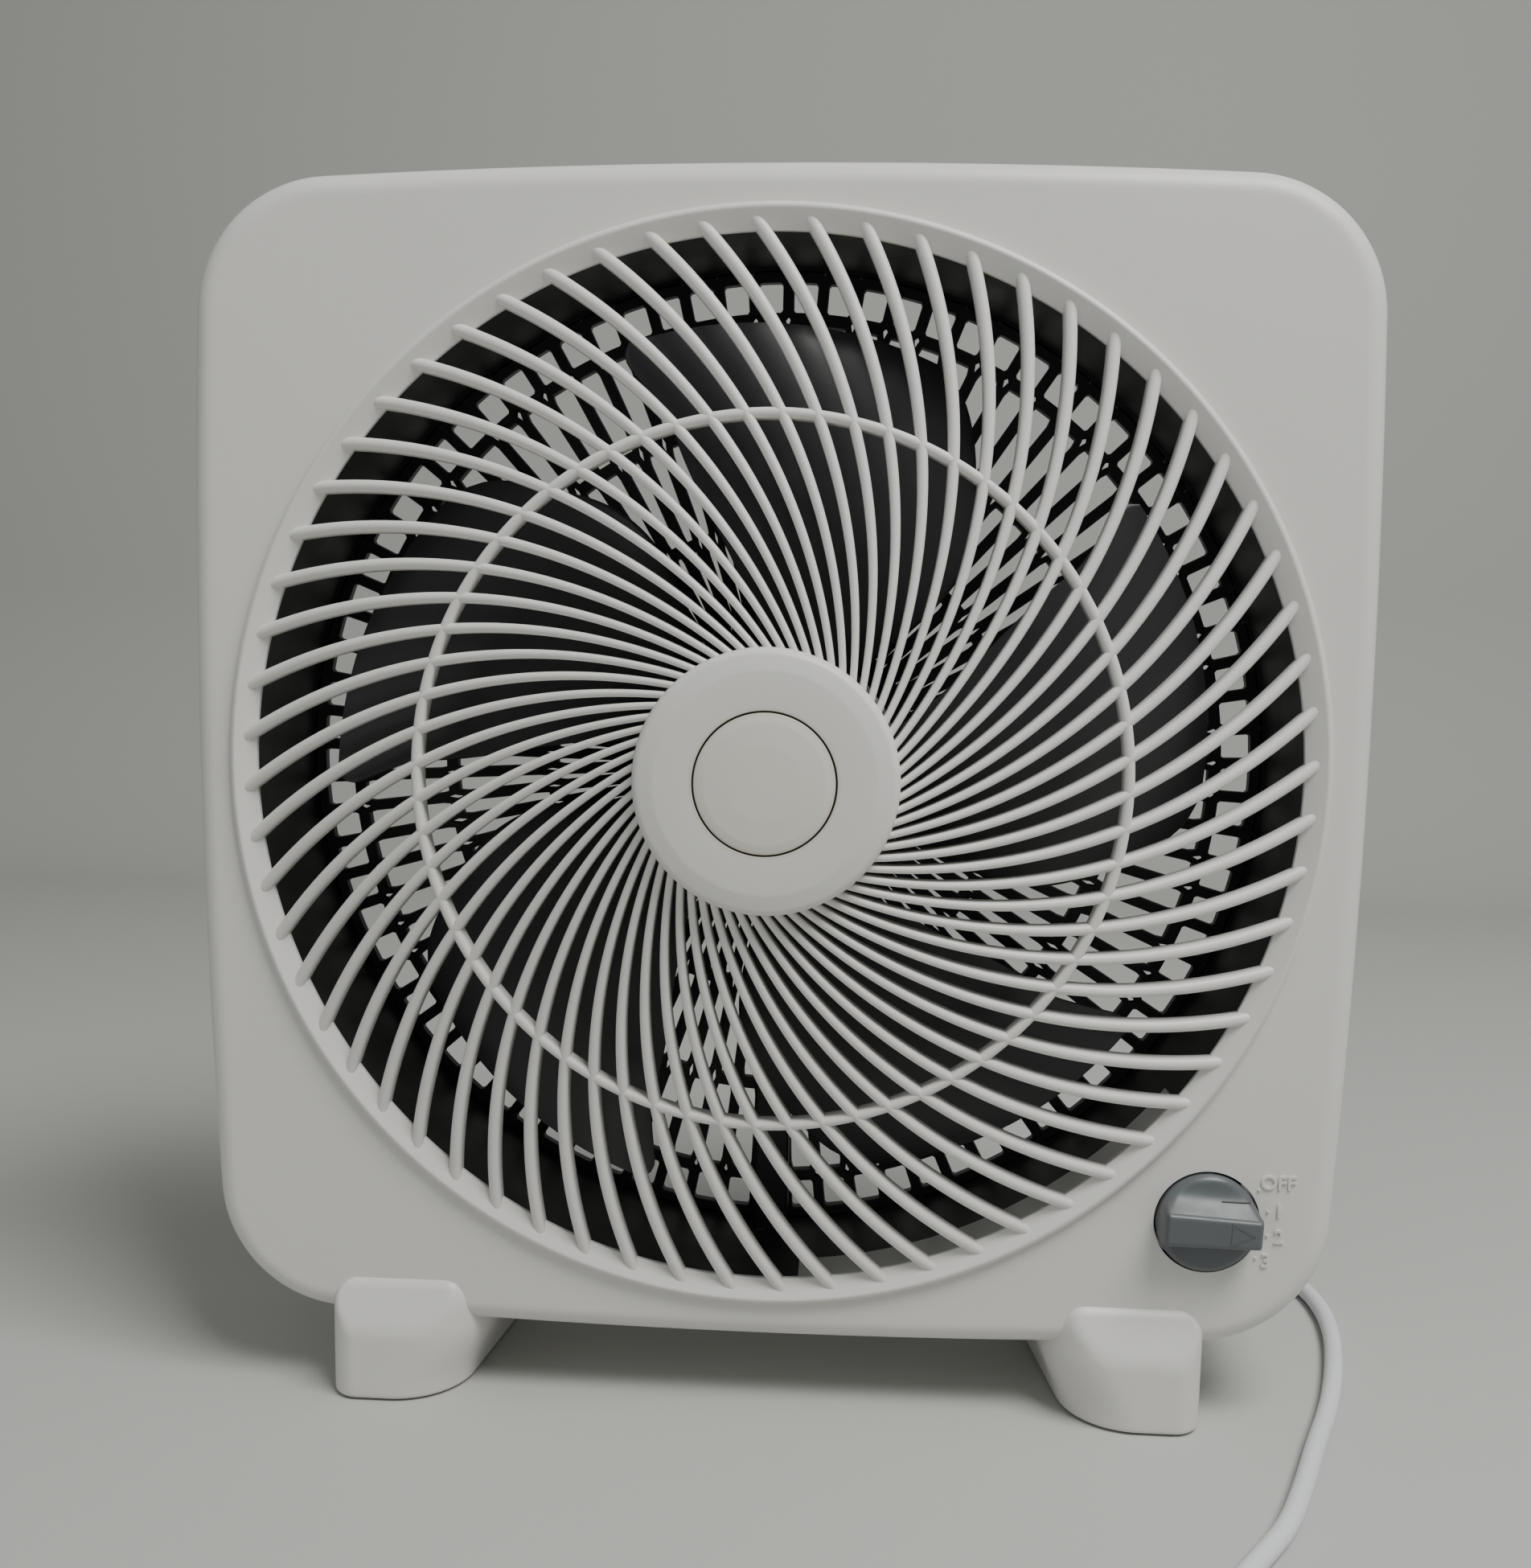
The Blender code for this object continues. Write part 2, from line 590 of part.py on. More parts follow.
def rear_grille(black):
    """Round slotted grille that carries the motor: rings, radial bars and a plate in the middle."""
    radii = [DUCT_RADIUS - FIT, DUCT_RADIUS - FIT - REAR_RIM_WIDTH]
    for row in REAR_ROWS:
        radii += [radii[-1] - row, radii[-1] - row - REAR_RING_WIDTH]
    radii.reverse()
    half = REAR_BAR_WIDTH / 2

    def point(i, j, back):
        angle = 2 * math.pi * (j // 2 + 0.5) / REAR_BAR_COUNT
        angle += (half if j % 2 else -half) / radii[i]
        y = GRILLE_BACK_Y if back else GRILLE_FRONT_Y
        return (radii[i] * math.cos(angle), y, radii[i] * math.sin(angle))

    def solid(i, j):
        return i % 2 == 0 or j % 2 == 0

    grille = lattice("rear_grille", len(radii), 2 * REAR_BAR_COUNT, point, solid, black, filled=True)
    low, high = GRILLE_FRONT_Y - 0.01, GRILLE_BACK_Y + 0.01
    return cut(grille, *[disc("plate_hole", at, 0.0023, low, high, 8) for at in MOTOR_SCREWS_AT])


def motor(steel, iron, copper, zinc):
    """Two end shields, stator, windings, rotor, bearings and shaft, stacked along the axis."""
    middle = (MOTOR_FRONT_Y + MOTOR_BACK_Y) / 2
    core_front, core_back = middle - STATOR_LENGTH / 2, middle + STATOR_LENGTH / 2
    shield = 0.0022
    shaft_hole = SHAFT_RADIUS + FIT
    pocket = BEARING_RADIUS + FIT
    for name, closed, open_end, way in (
        ("motor_front_shield", MOTOR_FRONT_Y, core_front - SEAT, 1),
        ("motor_rear_shield", MOTOR_BACK_Y, core_back + SEAT, -1),
    ):
        profile = [
            (shaft_hole, closed),
            (MOTOR_RADIUS - 0.006, closed),
            (MOTOR_RADIUS, closed + way * 0.005),
            (MOTOR_RADIUS, open_end),
            (MOTOR_RADIUS - shield, open_end),
            (MOTOR_RADIUS - shield, closed + way * 0.006),
            (MOTOR_RADIUS - 0.008, closed + way * shield),
            (pocket + 0.002, closed + way * shield),
            (pocket + 0.002, closed + way * (shield + BEARING_LENGTH)),
            (pocket, closed + way * (shield + BEARING_LENGTH)),
            (pocket, closed + way * shield),
            (shaft_hole, closed + way * shield),
        ]
        made = turned(name, profile, 24, zinc)
        if way < 0:
            low, high = MOTOR_BACK_Y - 0.004, MOTOR_BACK_Y + 0.01
            cut(made, *[disc("shield_hole", at, 0.0021, low, high, 8) for at in MOTOR_SCREWS_AT])
        seat = closed + way * (shield + SEAT)
        end = closed + way * (shield + BEARING_LENGTH)
        low, high = min(seat, end), max(seat, end)
        bore = SHAFT_RADIUS + SEAT
        ring = [(bore, low), (BEARING_RADIUS, low), (BEARING_RADIUS, high), (bore, high)]
        turned("front_bearing" if way > 0 else "rear_bearing", ring, 16, steel)
    bore = ROTOR_RADIUS + 0.0005
    outer = MOTOR_RADIUS
    ring = [(bore, core_front), (outer, core_front), (outer, core_back), (bore, core_back)]
    turned("stator_core", ring, 24, iron)
    for name, near, way in (
        ("front_winding", core_front - SEAT, -1),
        ("rear_winding", core_back + SEAT, 1),
    ):
        r0, r1 = ROTOR_RADIUS + 0.003, MOTOR_RADIUS - shield - 0.003
        far = near + way * 0.0058
        turned(
            name,
            [(r0, near), (r1, near), (r1, far - way * 0.002), (r1 - 0.003, far), (r0, far)],
            20,
            copper,
        )
    rotor_half = STATOR_LENGTH / 2
    low, high = middle - rotor_half, middle + rotor_half
    r0 = SHAFT_RADIUS + SEAT
    ring = [(r0, low), (ROTOR_RADIUS, low), (ROTOR_RADIUS, high), (r0, high)]
    turned("rotor_core", ring, 20, steel)
    front_end = BLADE_FRONT_Y - 0.0085
    shaft = disc("motor_shaft", (0, 0), SHAFT_RADIUS, front_end, MOTOR_BACK_Y - 0.0005, 20, steel)
    pin_y = BLADE_FRONT_Y + BOSS_LENGTH + 0.0016
    hole = [(0, -0.01), (PIN_DRIVE_RADIUS + SEAT, -0.01), (PIN_DRIVE_RADIUS + SEAT, 0.01), (0, 0.01)]
    cut(shaft, turned("pin_hole", hole, 12, centre=(0, pin_y, 0), axis="X"))
    pin = [(0, -0.008), (PIN_DRIVE_RADIUS, -0.008), (PIN_DRIVE_RADIUS, 0.008), (0, 0.008)]
    turned("drive_pin", pin, 12, steel, centre=(0, pin_y, 0), axis="X")


def blade_sheets(radial=4, along=5):
    """Five cambered, twisted blades as closed sheets, swept back towards the tip."""
    shape = bmesh.new()
    root = BLADE_HUB_RADIUS - 0.0012
    for k in range(BLADE_COUNT):
        start = 2 * math.pi * k / BLADE_COUNT
        faces = []
        for side in (-0.5, 0.5):
            grid = []
            for i in range(radial + 1):
                u = i / radial
                r = root + (BLADE_RADIUS - root) * u
                back = BLADE_BACK_Y - 0.001 + 0.013 * u
                depth = 0.024 + 0.002 * u
                sweep = BLADE_SWEEP * (0.72 + 0.28 * math.sin(math.pi * min(u, 0.75)))
                row = []
                for j in range(along + 1):
                    v = j / along
                    angle = start + 0.30 * u * u + sweep * (v - 0.5) * (1 - 0.16 * u**4)
                    y = back - depth * v - 0.0035 * math.sin(math.pi * v) + side * BLADE_THICK
                    row.append(shape.verts.new((r * math.cos(angle), y, r * math.sin(angle))))
                grid.append(row)
            faces.append(grid)
        low, high = faces
        for grid in faces:
            for i in range(radial):
                for j in range(along):
                    a, b = grid[i], grid[i + 1]
                    shape.faces.new((a[j], a[j + 1], b[j + 1], b[j]))
        border = [(i, 0) for i in range(radial)] + [(radial, j) for j in range(along)]
        border += [(i, along) for i in range(radial, 0, -1)] + [(0, j) for j in range(along, 0, -1)]
        for (i, j), (m, n) in zip(border, border[1:] + border[:1]):
            shape.faces.new((low[i][j], low[m][n], high[m][n], high[i][j]))
    return finish("blade_sheets", shape, None, smooth=False)


def fan_blade(grey):
    """Cup-shaped hub with a bored boss and five blades."""
    bore = SHAFT_RADIUS + SEAT
    y0, y1 = BLADE_FRONT_Y, BLADE_BACK_Y
    hub = turned(
        "fan_blade",
        [
            (bore, y0),
            (BLADE_HUB_RADIUS - 0.010, y0 + 0.0005),
            (BLADE_HUB_RADIUS - 0.002, y0 + 0.004),
            (BLADE_HUB_RADIUS, y0 + 0.011),
            (BLADE_HUB_RADIUS, y1),
            (BLADE_HUB_RADIUS - 0.0022, y1),
            (BLADE_HUB_RADIUS - 0.0022, y0 + 0.0115),
            (BLADE_HUB_RADIUS - 0.011, y0 + 0.0030),
            (BOSS_RADIUS, y0 + 0.0026),
            (BOSS_RADIUS, y0 + BOSS_LENGTH),
            (bore, y0 + BOSS_LENGTH),
        ],
        40,
        grey,
    )
    return join(hub, blade_sheets())


def blade_nut(grey):
    """Hand nut that clamps the blade on the shaft, closed in front."""
    y1 = BLADE_FRONT_Y - SEAT
    y0 = y1 - 0.0100
    bore = SHAFT_RADIUS + SEAT
    profile = [
        (0, y0),
        (0.0070, y0 + 0.0008),
        (0.0092, y0 + 0.003),
        (0.0098, y1),
        (bore, y1),
        (bore, y0 + 0.0014),
        (0, y0 + 0.0014),
    ]
    return turned("blade_nut", profile, 18, grey)


def cable_channel(black):
    """Channel across the rear grille that covers the motor lead, open towards the grille."""
    half = CHANNEL_WIDTH / 2
    top, bottom = -MOTOR_RADIUS - 0.0010, -(DUCT_RADIUS - 0.0008)
    y1 = GRILLE_FRONT_Y - SEAT
    y0 = y1 - CHANNEL_DEPTH
    channel = block("cable_channel", (-half, y0, bottom), (half, y1, top), black)
    inside = half - CHANNEL_WALL
    low, high = (-inside, y0 + CHANNEL_WALL, bottom - 0.01), (inside, y1 + 0.01, top + 0.01)
    return cut(channel, block("channel_hollow", low, high))


def smooth_route(points, per_span):
    """Catmull-Rom curve through hand-placed points, sampled evenly inside each span."""
    spots = [Vector(p) for p in points]
    ends = [2 * spots[0] - spots[1]] + spots + [2 * spots[-1] - spots[-2]]
    route = []
    for a, b, c, d in zip(ends, ends[1:], ends[2:], ends[3:]):
        for i in range(per_span):
            t = i / per_span
            route.append(
                0.5
                * (
                    2 * b
                    + (c - a) * t
                    + (2 * a - 5 * b + 4 * c - d) * t**2
                    + (3 * b - a - 3 * c + d) * t**3
                )
            )
    route.append(spots[-1])
    return route


def tube(name, route, radius, finish_of):
    """A round lead along a route, with closed ends."""
    curve = bpy.data.curves.new(name, "CURVE")
    curve.dimensions = "3D"
    curve.bevel_depth = radius
    curve.bevel_resolution = 2
    curve.use_fill_caps = True
    curve.resolution_u = 1
    spline = curve.splines.new("POLY")
    spline.points.add(len(route) - 1)
    for point, at in zip(spline.points, route):
        point.co = (*at, 1.0)
    curve.materials.append(finish_of)
    made = bpy.data.objects.new(name, curve)
    made.location = STAND
    bpy.context.scene.collection.objects.link(made)
    return made


def motor_lead(grey):
    """Lead from the motor down the channel, under the duct and along to the switch."""
    under = -DUCT_RADIUS - DUCT_WALL - 0.0058
    points = [
        (0, LEAD_Y, -MOTOR_RADIUS - 0.0040),
        (0, LEAD_Y, -0.075),
        (0, LEAD_Y, -0.110),
        (0, LEAD_Y, -DUCT_RADIUS + 0.012),
        (0.0006, LEAD_Y, under + 0.009),
        (0.0070, LEAD_Y - 0.001, under + 0.001),
        (0.030, LEAD_Y - 0.012, under - 0.0005),
        (0.060, LEAD_Y - 0.026, under + 0.001),
        (KNOB_AT[0] - 0.062, 0.024, under + 0.002),
        (KNOB_AT[0] - 0.034, 0.020, KNOB_AT[1] - 0.026),
        (KNOB_AT[0] - SWITCH_SIZE / 2 - 0.006, 0.010, KNOB_AT[1] - 0.013),
        (KNOB_AT[0] - SWITCH_SIZE / 2 - SEAT - LEAD_RADIUS, 0.0060, KNOB_AT[1] - 0.006),
    ]
    return tube("motor_lead", smooth_route(points, 2), LEAD_RADIUS, grey)


def switch_and_knob(dark, steel, grey, brown):
    """Rotary switch behind the face, its bracket and capacitor, and the knob on its spindle."""
    x, z = KNOB_AT
    half = SWITCH_SIZE / 2
    plate_y = -0.0032 + SEAT
    low, high = (x - 0.023, plate_y, z - 0.012), (x + 0.023, plate_y + 0.001, z + 0.012)
    plate = block("switch_bracket", low, high, steel)
    cut(plate, disc("bracket_hole", (x, z), SPINDLE_RADIUS + 0.0015, -0.02, 0.02, 16))
    body_y = plate_y + 0.001 + SEAT
    low, high = (x - half, body_y, z - half), (x + half, body_y + SWITCH_DEPTH, z + half)
    body = block("switch_body", low, high, dark)
    cut(body, disc("switch_bore", (x, z), SPINDLE_RADIUS + FIT, -0.02, body_y + 0.006, 16))
    size = (0.034, 0.026, 0.016)
    x1 = x - half - 0.016
    z0 = -HALF_H + WALL + TOP_BOW + 0.0016
    block("capacitor", (x1 - size[0], 0.030, z0), (x1, 0.030 + size[1], z0 + size[2]), brown)

    axis = bpy.data.objects.new("knob_axis", None)
    axis.location = STAND + Vector((x, 0.0, z))
    bpy.context.scene.collection.objects.link(axis)
    spindle = disc("switch_spindle", (0, 0), SPINDLE_RADIUS, FACE_Y - 0.004, body_y + 0.0055, 16, steel)
    base_front, base_back = FACE_Y - 0.0026, FACE_Y + 0.0038
    knob = turned(
        "speed_knob",
        [
            (0, base_back),
            (KNOB_RADIUS, base_back),
            (KNOB_RADIUS, base_front + 0.0010),
            (KNOB_RADIUS - 0.0010, base_front),
            (0.008, base_front - 0.0012),
            (0, base_front - 0.0014),
        ],
        32,
        grey,
    )
    grip_top = FACE_Y - KNOB_REACH
    back, front = -KNOB_RADIUS + 0.0010, KNOB_RADIUS - 0.0008
    wide, narrow = GRIP_WIDTH / 2, GRIP_WIDTH / 2 - 0.0007
    plan = [(back, -wide + 0.002), (back + 0.002, -wide), (front - 0.001, -narrow)]
    plan += [(front, -narrow + 0.001), (front, narrow - 0.001), (front - 0.001, narrow)]
    plan += [(back + 0.002, wide), (back, wide - 0.002)]
    rings = [
        [(a * s, y, b * s) for a, b in plan]
        for y, s in ((base_front + 0.002, 1.0), (grip_top + 0.0015, 0.985), (grip_top, 0.93))
    ]
    join(knob, loft("grip_form", rings))
    cut(knob, disc("knob_bore", (0, 0), SPINDLE_RADIUS + SEAT, FACE_Y - 0.0044, 0.01, 16))
    for piece in (spindle, knob, *(m.object for m in knob.modifiers)):
        piece.parent = axis
        piece.location = (0, 0, 0)
        piece.rotation_euler = (0, -KNOB_REST_ANGLE, 0)


def screws(steel):
    """Four case screws, four motor screws: a head and a plain shank each."""
    spots = [(at, "case_screw") for at in SCREWS_AT]
    spots += [(at, "motor_screw") for at in MOTOR_SCREWS_AT]
    for i, ((x, z), name) in enumerate(spots):
        face, reach = (BACK_Y, 0.030) if name == "case_screw" else (GRILLE_BACK_Y, 0.0068)
        radius = SCREW_RADIUS if name == "case_screw" else 0.0018
        head = face + SEAT
        profile = [(0, face - reach), (radius, face - reach), (radius, head)]
        profile += [(2.1 * radius, head), (1.7 * radius, head + 0.0016), (0, head + 0.0020)]
        turned(f"{name}_{i % 4 + 1}", profile, 10, steel, centre=(x, 0.0, z))


# Where the lead runs, chosen by hand, in the fan's frame: x, y and the height of its middle over
# the floor. The first run goes from the strain relief to the coil, the second on to the plug.
LEAD_ROUTE = (
    (0.1458, 0.1180, 0.0455),
    (0.1530, 0.1290, 0.0355),
    (0.1660, 0.1385, 0.0225),
    (0.1820, 0.1400, 0.0110),
    (0.1980, 0.1345, 0.0050),
    (0.2110, 0.1220, 0.0034),
    (0.2185, 0.1040, 0.0034),
    (0.2195, 0.0830, 0.0034),
    (0.2160, 0.0600, 0.0034),
    (0.2085, 0.0340, 0.0034),
    (0.1980, 0.0060, 0.0034),
    (0.1850, -0.0220, 0.0034),
    (0.1735, -0.0475, 0.0034),
    (0.1621, -0.0700, 0.0034),
    (0.1501, -0.0869, 0.0035),
    (0.1381, -0.1029, 0.0038),
    (0.1300, -0.1137, 0.0041),
)
TAIL_ROUTE = (
    (0.1030, -0.1868, 0.0104),
    (0.0995, -0.1945, 0.0101),
    (0.0930, -0.2008, 0.0099),
    (0.0850, -0.2045, 0.0097),
    (0.0775, -0.2060, 0.0095),
)


def mains_lead(white, dark, brass):
    """Strain relief, free lead, its coil with a tie, and a two-pin plug."""
    radius = CORD_DIAMETER / 2
    start = BACK_Y + SEAT
    end = start + GLAND_LENGTH
    relief = [
        (0, BACK_Y - 0.004),
        (0.0045, BACK_Y - 0.004),
        (0.0045, start),
        (0.0070, start),
        (0.0070, start + 0.0025),
        (0.0058, start + 0.0035),
        (radius + 0.0009, end),
        (0, end),
    ]
    turned("strain_relief", relief, 16, white, centre=(GLAND_AT[0], 0.0, GLAND_AT[1]))

    first = Vector((GLAND_AT[0], end + SEAT, GLAND_AT[1]))
    route = [first, first + Vector((0.0, 0.007, 0.0))]
    route += [Vector((x, y, FLOOR_Z + h)) for x, y, h in LEAD_ROUTE]
    tube("power_cord", smooth_route(route, 2), radius, white)

    cx, cy = COIL_CENTRE
    strand_circle = (CORD_DIAMETER + COIL_PLAY) / (2 * math.sin(math.pi / COIL_STRANDS))
    half = strand_circle + radius
    middle_z = FLOOR_Z + half + SEAT / 2
    section = [
        (COIL_MIDDLE_RADIUS + half * math.cos(a), middle_z + half * math.sin(a))
        for a in (math.pi * (i + 0.5) / 5 for i in range(10))
    ]
    turned("cord_coil", section, 28, white, centre=(cx, cy, 0.0), axis="Z")

    strap = 0.0008
    gap = 2 * SEAT
    near, far = COIL_MIDDLE_RADIUS - half - gap, COIL_MIDDLE_RADIUS + half + SEAT
    top = middle_z + half + SEAT
    tie = block(
        "cord_tie",
        (cx + near - strap, cy - 0.003, middle_z),
        (cx + far + strap, cy + 0.003, top + strap),
        dark,
    )
    cut(tie, block("tie_hollow", (cx + near, cy - 0.01, middle_z - 0.01), (cx + far, cy + 0.01, top)))

    plug_x, plug_y = PLUG_REAR
    plug_z = FLOOR_Z + TAIL_ROUTE[-1][2]
    tail = [Vector((x, y, FLOOR_Z + h)) for x, y, h in TAIL_ROUTE]
    tail.append(Vector((plug_x + SEAT, plug_y, plug_z)))
    tube("cord_tail", smooth_route(tail, 2), radius, white)
    high = PLUG_HEIGHT / 2
    outline = [(-0.009, -high), (0.009, -high), (0.0135, -high / 2), (0.0135, high / 2)]
    outline += [(0.009, high), (-0.009, high), (-0.0135, high / 2), (-0.0135, -high / 2)]
    stations = ((0.0, 0.30), (0.008, 0.52), (0.016, 0.92), (PLUG_LENGTH, 1.0))
    rings = [
        [(plug_x - t, plug_y + a * s, plug_z + b * max(s, 0.5)) for a, b in outline]
        for t, s in stations
    ]
    loft("plug_body", rings, white)
    face_x = plug_x - PLUG_LENGTH - SEAT
    profile = [(0, face_x), (PIN_RADIUS, face_x), (PIN_RADIUS, face_x - PIN_LENGTH + 0.001)]
    profile += [(PIN_RADIUS - 0.001, face_x - PIN_LENGTH), (0, face_x - PIN_LENGTH)]
    for name, way in (("plug_pin_left", -1), ("plug_pin_right", 1)):
        at = (0.0, plug_y + way * PIN_SPACING / 2, plug_z)
        turned(name, profile, 12, brass, centre=at, axis="X")


def build():
    for old in list(bpy.data.objects):
        bpy.data.objects.remove(old)
    white = material("white_moulding", (0.72, 0.72, 0.70), 0.42)
    cream = material("badge_cream", (0.70, 0.68, 0.62), 0.38)
    black = material("black_moulding", (0.018, 0.018, 0.020), 0.45)
    grey = material("slate_grey_moulding", (0.104, 0.116, 0.123), 0.38)
    blade = material("blade_grey", (0.045, 0.047, 0.048), 0.40)
    rubber = material("foot_rubber", (0.05, 0.05, 0.05), 0.85)
    steel = material("bright_steel", (0.60, 0.60, 0.60), 0.30, 1.0)
    iron = material("laminated_iron", (0.20, 0.20, 0.21), 0.55, 1.0)
    zinc = material("zinc_casting", (0.45, 0.45, 0.46), 0.50, 1.0)
    copper = material("copper", (0.72, 0.35, 0.20), 0.35, 1.0)
    brass = material("brass", (0.75, 0.62, 0.32), 0.28, 1.0)
    brown = material("capacitor_case", (0.10, 0.10, 0.11), 0.5)
    cord = material("white_cord", (0.74, 0.75, 0.76), 0.50)

    front_shell(white)
    foot_pads(rubber)
    front_grille(white)
    badge(cream)
    rear_cover(black)
    rear_grille(black)
    motor(steel, iron, copper, zinc)
    fan_blade(blade)
    blade_nut(blade)
    cable_channel(black)
    motor_lead(cord)
    switch_and_knob(black, steel, grey, brown)
    screws(steel)
    mains_lead(cord, black, brass)


build()
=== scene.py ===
import json
import math
import bmesh
import bpy
import numpy as np
from mathutils import Matrix, Vector


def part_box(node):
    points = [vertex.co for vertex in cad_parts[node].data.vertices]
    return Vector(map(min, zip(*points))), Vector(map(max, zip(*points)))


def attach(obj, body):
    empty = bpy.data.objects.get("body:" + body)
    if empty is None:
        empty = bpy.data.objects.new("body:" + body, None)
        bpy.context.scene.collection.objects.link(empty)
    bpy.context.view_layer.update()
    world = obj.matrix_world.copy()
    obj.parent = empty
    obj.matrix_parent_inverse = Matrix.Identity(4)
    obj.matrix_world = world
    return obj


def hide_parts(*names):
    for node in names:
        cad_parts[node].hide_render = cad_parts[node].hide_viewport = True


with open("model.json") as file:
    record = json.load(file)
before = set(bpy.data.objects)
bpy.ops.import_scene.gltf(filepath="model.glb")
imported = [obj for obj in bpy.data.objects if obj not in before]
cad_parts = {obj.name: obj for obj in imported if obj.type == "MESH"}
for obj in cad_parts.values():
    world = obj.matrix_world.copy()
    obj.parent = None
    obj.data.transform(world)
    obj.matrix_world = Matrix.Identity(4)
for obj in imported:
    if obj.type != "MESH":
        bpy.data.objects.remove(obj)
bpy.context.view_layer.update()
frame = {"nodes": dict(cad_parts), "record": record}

# The fan's own frame: the blade axis is x = 0, z = 0, and +y runs from front to back.
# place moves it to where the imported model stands.
footLead = 0.0155
joints = {joint["name"]: joint for joint in frame["record"]["behaviour"]["joints"]}
axisHeight = joints["fan_spin"]["pos_m"][2]
place = np.array([0.0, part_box("front_shell")[0].y + footLead, axisHeight])
ground = -axisHeight

casing = {
    "width": 0.3900,
    "height": 0.3907,
    "sideBow": 0.0057,
    "topBow": 0.0061,
    "corner": 0.0455,
    "edgeRound": 0.0078,
    "depth": 0.0560,
    "wall": 0.0025,
    "opening": 0.1762,
    "backPlane": 0.0700,
}
faceY = -0.0075


def makeCamera():
    eye = bpy.data.cameras.new("camera")
    eye.sensor_width = 36.0
    eye.lens = 34.17
    eye.shift_x = 0.0069
    eye.shift_y = 0.0351
    eye.clip_start = 0.01
    stand = bpy.data.objects.new("camera", eye)
    bpy.context.scene.collection.objects.link(stand)
    stand.matrix_world = Matrix(
        (
            (0.997944, -0.022512, 0.060011, 0.025006),
            (0.062282, 0.119535, -0.990875, place[1] - 0.496860),
            (0.015133, 0.992575, 0.120691, place[2] + 0.038641),
            (0.0, 0.0, 0.0, 1.0),
        )
    )
    bpy.context.scene.camera = stand


def gridFaces(rows, cols, wrapRows=False, wrapCols=False):
    # corner numbers of the cells between neighbouring rows and columns
    i, j = np.meshgrid(
        np.arange(rows if wrapRows else rows - 1),
        np.arange(cols if wrapCols else cols - 1),
        indexing="ij",
    )
    i, j = i.ravel(), j.ravel()
    k, m = (i + 1) % rows, (j + 1) % cols
    return np.stack([i * cols + j, k * cols + j, k * cols + m, i * cols + m], 1)


def volumeOf(points, faces):
    # sum of the signed tetrahedra between the origin and the two halves of each cell
    a, b, c, d = (points[faces[:, n]] for n in range(4))
    return float((a * (np.cross(b, c) + np.cross(c, d))).sum())


def shell(points, faces):
    # a closed skin whose faces are turned to look outwards
    points = np.asarray(points, float).reshape(-1, 3)
    return (points, faces[:, ::-1] if volumeOf(points, faces) < 0 else faces)


def loft(rings):
    # rings of equally many points, skinned in turn, each end drawn together to its middle
    rings = np.asarray(rings, float)
    first, last = (np.broadcast_to(rings[n].mean(0), rings[n].shape) for n in (0, -1))
    full = np.concatenate([first[None], rings, last[None]])
    return shell(full, gridFaces(len(full), full.shape[1], wrapCols=True))


def band(rings):
    # rings of equally many points, skinned in turn and round to the first again
    rings = np.asarray(rings, float)
    return shell(rings, gridFaces(len(rings), rings.shape[1], True, True))


def turned(profile, steps=128, axis="y", centre=(0.0, 0.0, 0.0), closed=True):
    # each (r, t) of the profile runs round the axis: r cos a, t along it, r sin a
    a = np.linspace(0, 2 * np.pi, steps, endpoint=False)[:, None]
    r, t = np.asarray(profile, float).T[:, None, :]
    across, up, along = r * np.cos(a), r * np.sin(a), np.broadcast_to(t, (steps, r.shape[1]))
    order = {"x": (along, across, up), "y": (across, along, up), "z": (across, up, along)}[axis]
    points = np.stack(order, -1) + np.array(centre)
    return shell(points, gridFaces(steps, r.shape[1], True, closed))


def rounded(corners, steps=5, closed=True):
    # a polygon whose corners (a, b, radius) are replaced by arcs of that radius
    corners = np.asarray(corners, float)
    out = []
    for n, (a, b, radius) in enumerate(corners):
        at = np.array([a, b])
        if radius <= 0 or (not closed and n in (0, len(corners) - 1)):
            out.append(at[None])
            continue
        back = corners[n - 1, :2] - at
        ahead = corners[(n + 1) % len(corners), :2] - at
        back, ahead = back / np.linalg.norm(back), ahead / np.linalg.norm(ahead)
        half = math.acos(max(-1.0, min(1.0, float(back @ ahead)))) / 2
        middle = at + (back + ahead) / np.linalg.norm(back + ahead) * radius / math.sin(half)
        first = at + back * radius / math.tan(half) - middle
        last = at + ahead * radius / math.tan(half) - middle
        share = np.linspace(0, 1, steps + 1)[:, None]
        turn = math.pi - 2 * half
        arc = np.sin((1 - share) * turn) * first + np.sin(share * turn) * last
        out.append(middle + arc / math.sin(turn))
    return np.concatenate(out)


def makePiece(name, shells, material, body, nodes=(), sharp=38.0):
    # one object from several skins, its place written into the mesh
    counts = np.cumsum([0] + [len(p) for p, _ in shells])
    points = np.concatenate([p for p, _ in shells]) + place
    faces = np.concatenate([f + n for (_, f), n in zip(shells, counts)]).astype(np.int32)
    mesh = bpy.data.meshes.new(name)
    mesh.vertices.add(len(points))
    mesh.vertices.foreach_set("co", points.astype(np.float32).ravel())
    mesh.loops.add(faces.size)
    mesh.loops.foreach_set("vertex_index", faces.ravel())
    mesh.polygons.add(len(faces))
    mesh.polygons.foreach_set("loop_start", np.arange(0, faces.size, 4, dtype=np.int32))
    mesh.update(calc_edges=True)
    piece = bpy.data.objects.new(name, mesh)
    bpy.context.scene.collection.objects.link(piece)
    weldPoints(mesh)
    mesh.shade_smooth()
    mesh.set_sharp_from_angle(angle=math.radians(sharp))
    mesh.materials.append(material)
    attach(piece, body)
    if nodes:
        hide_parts(*nodes)
    return piece


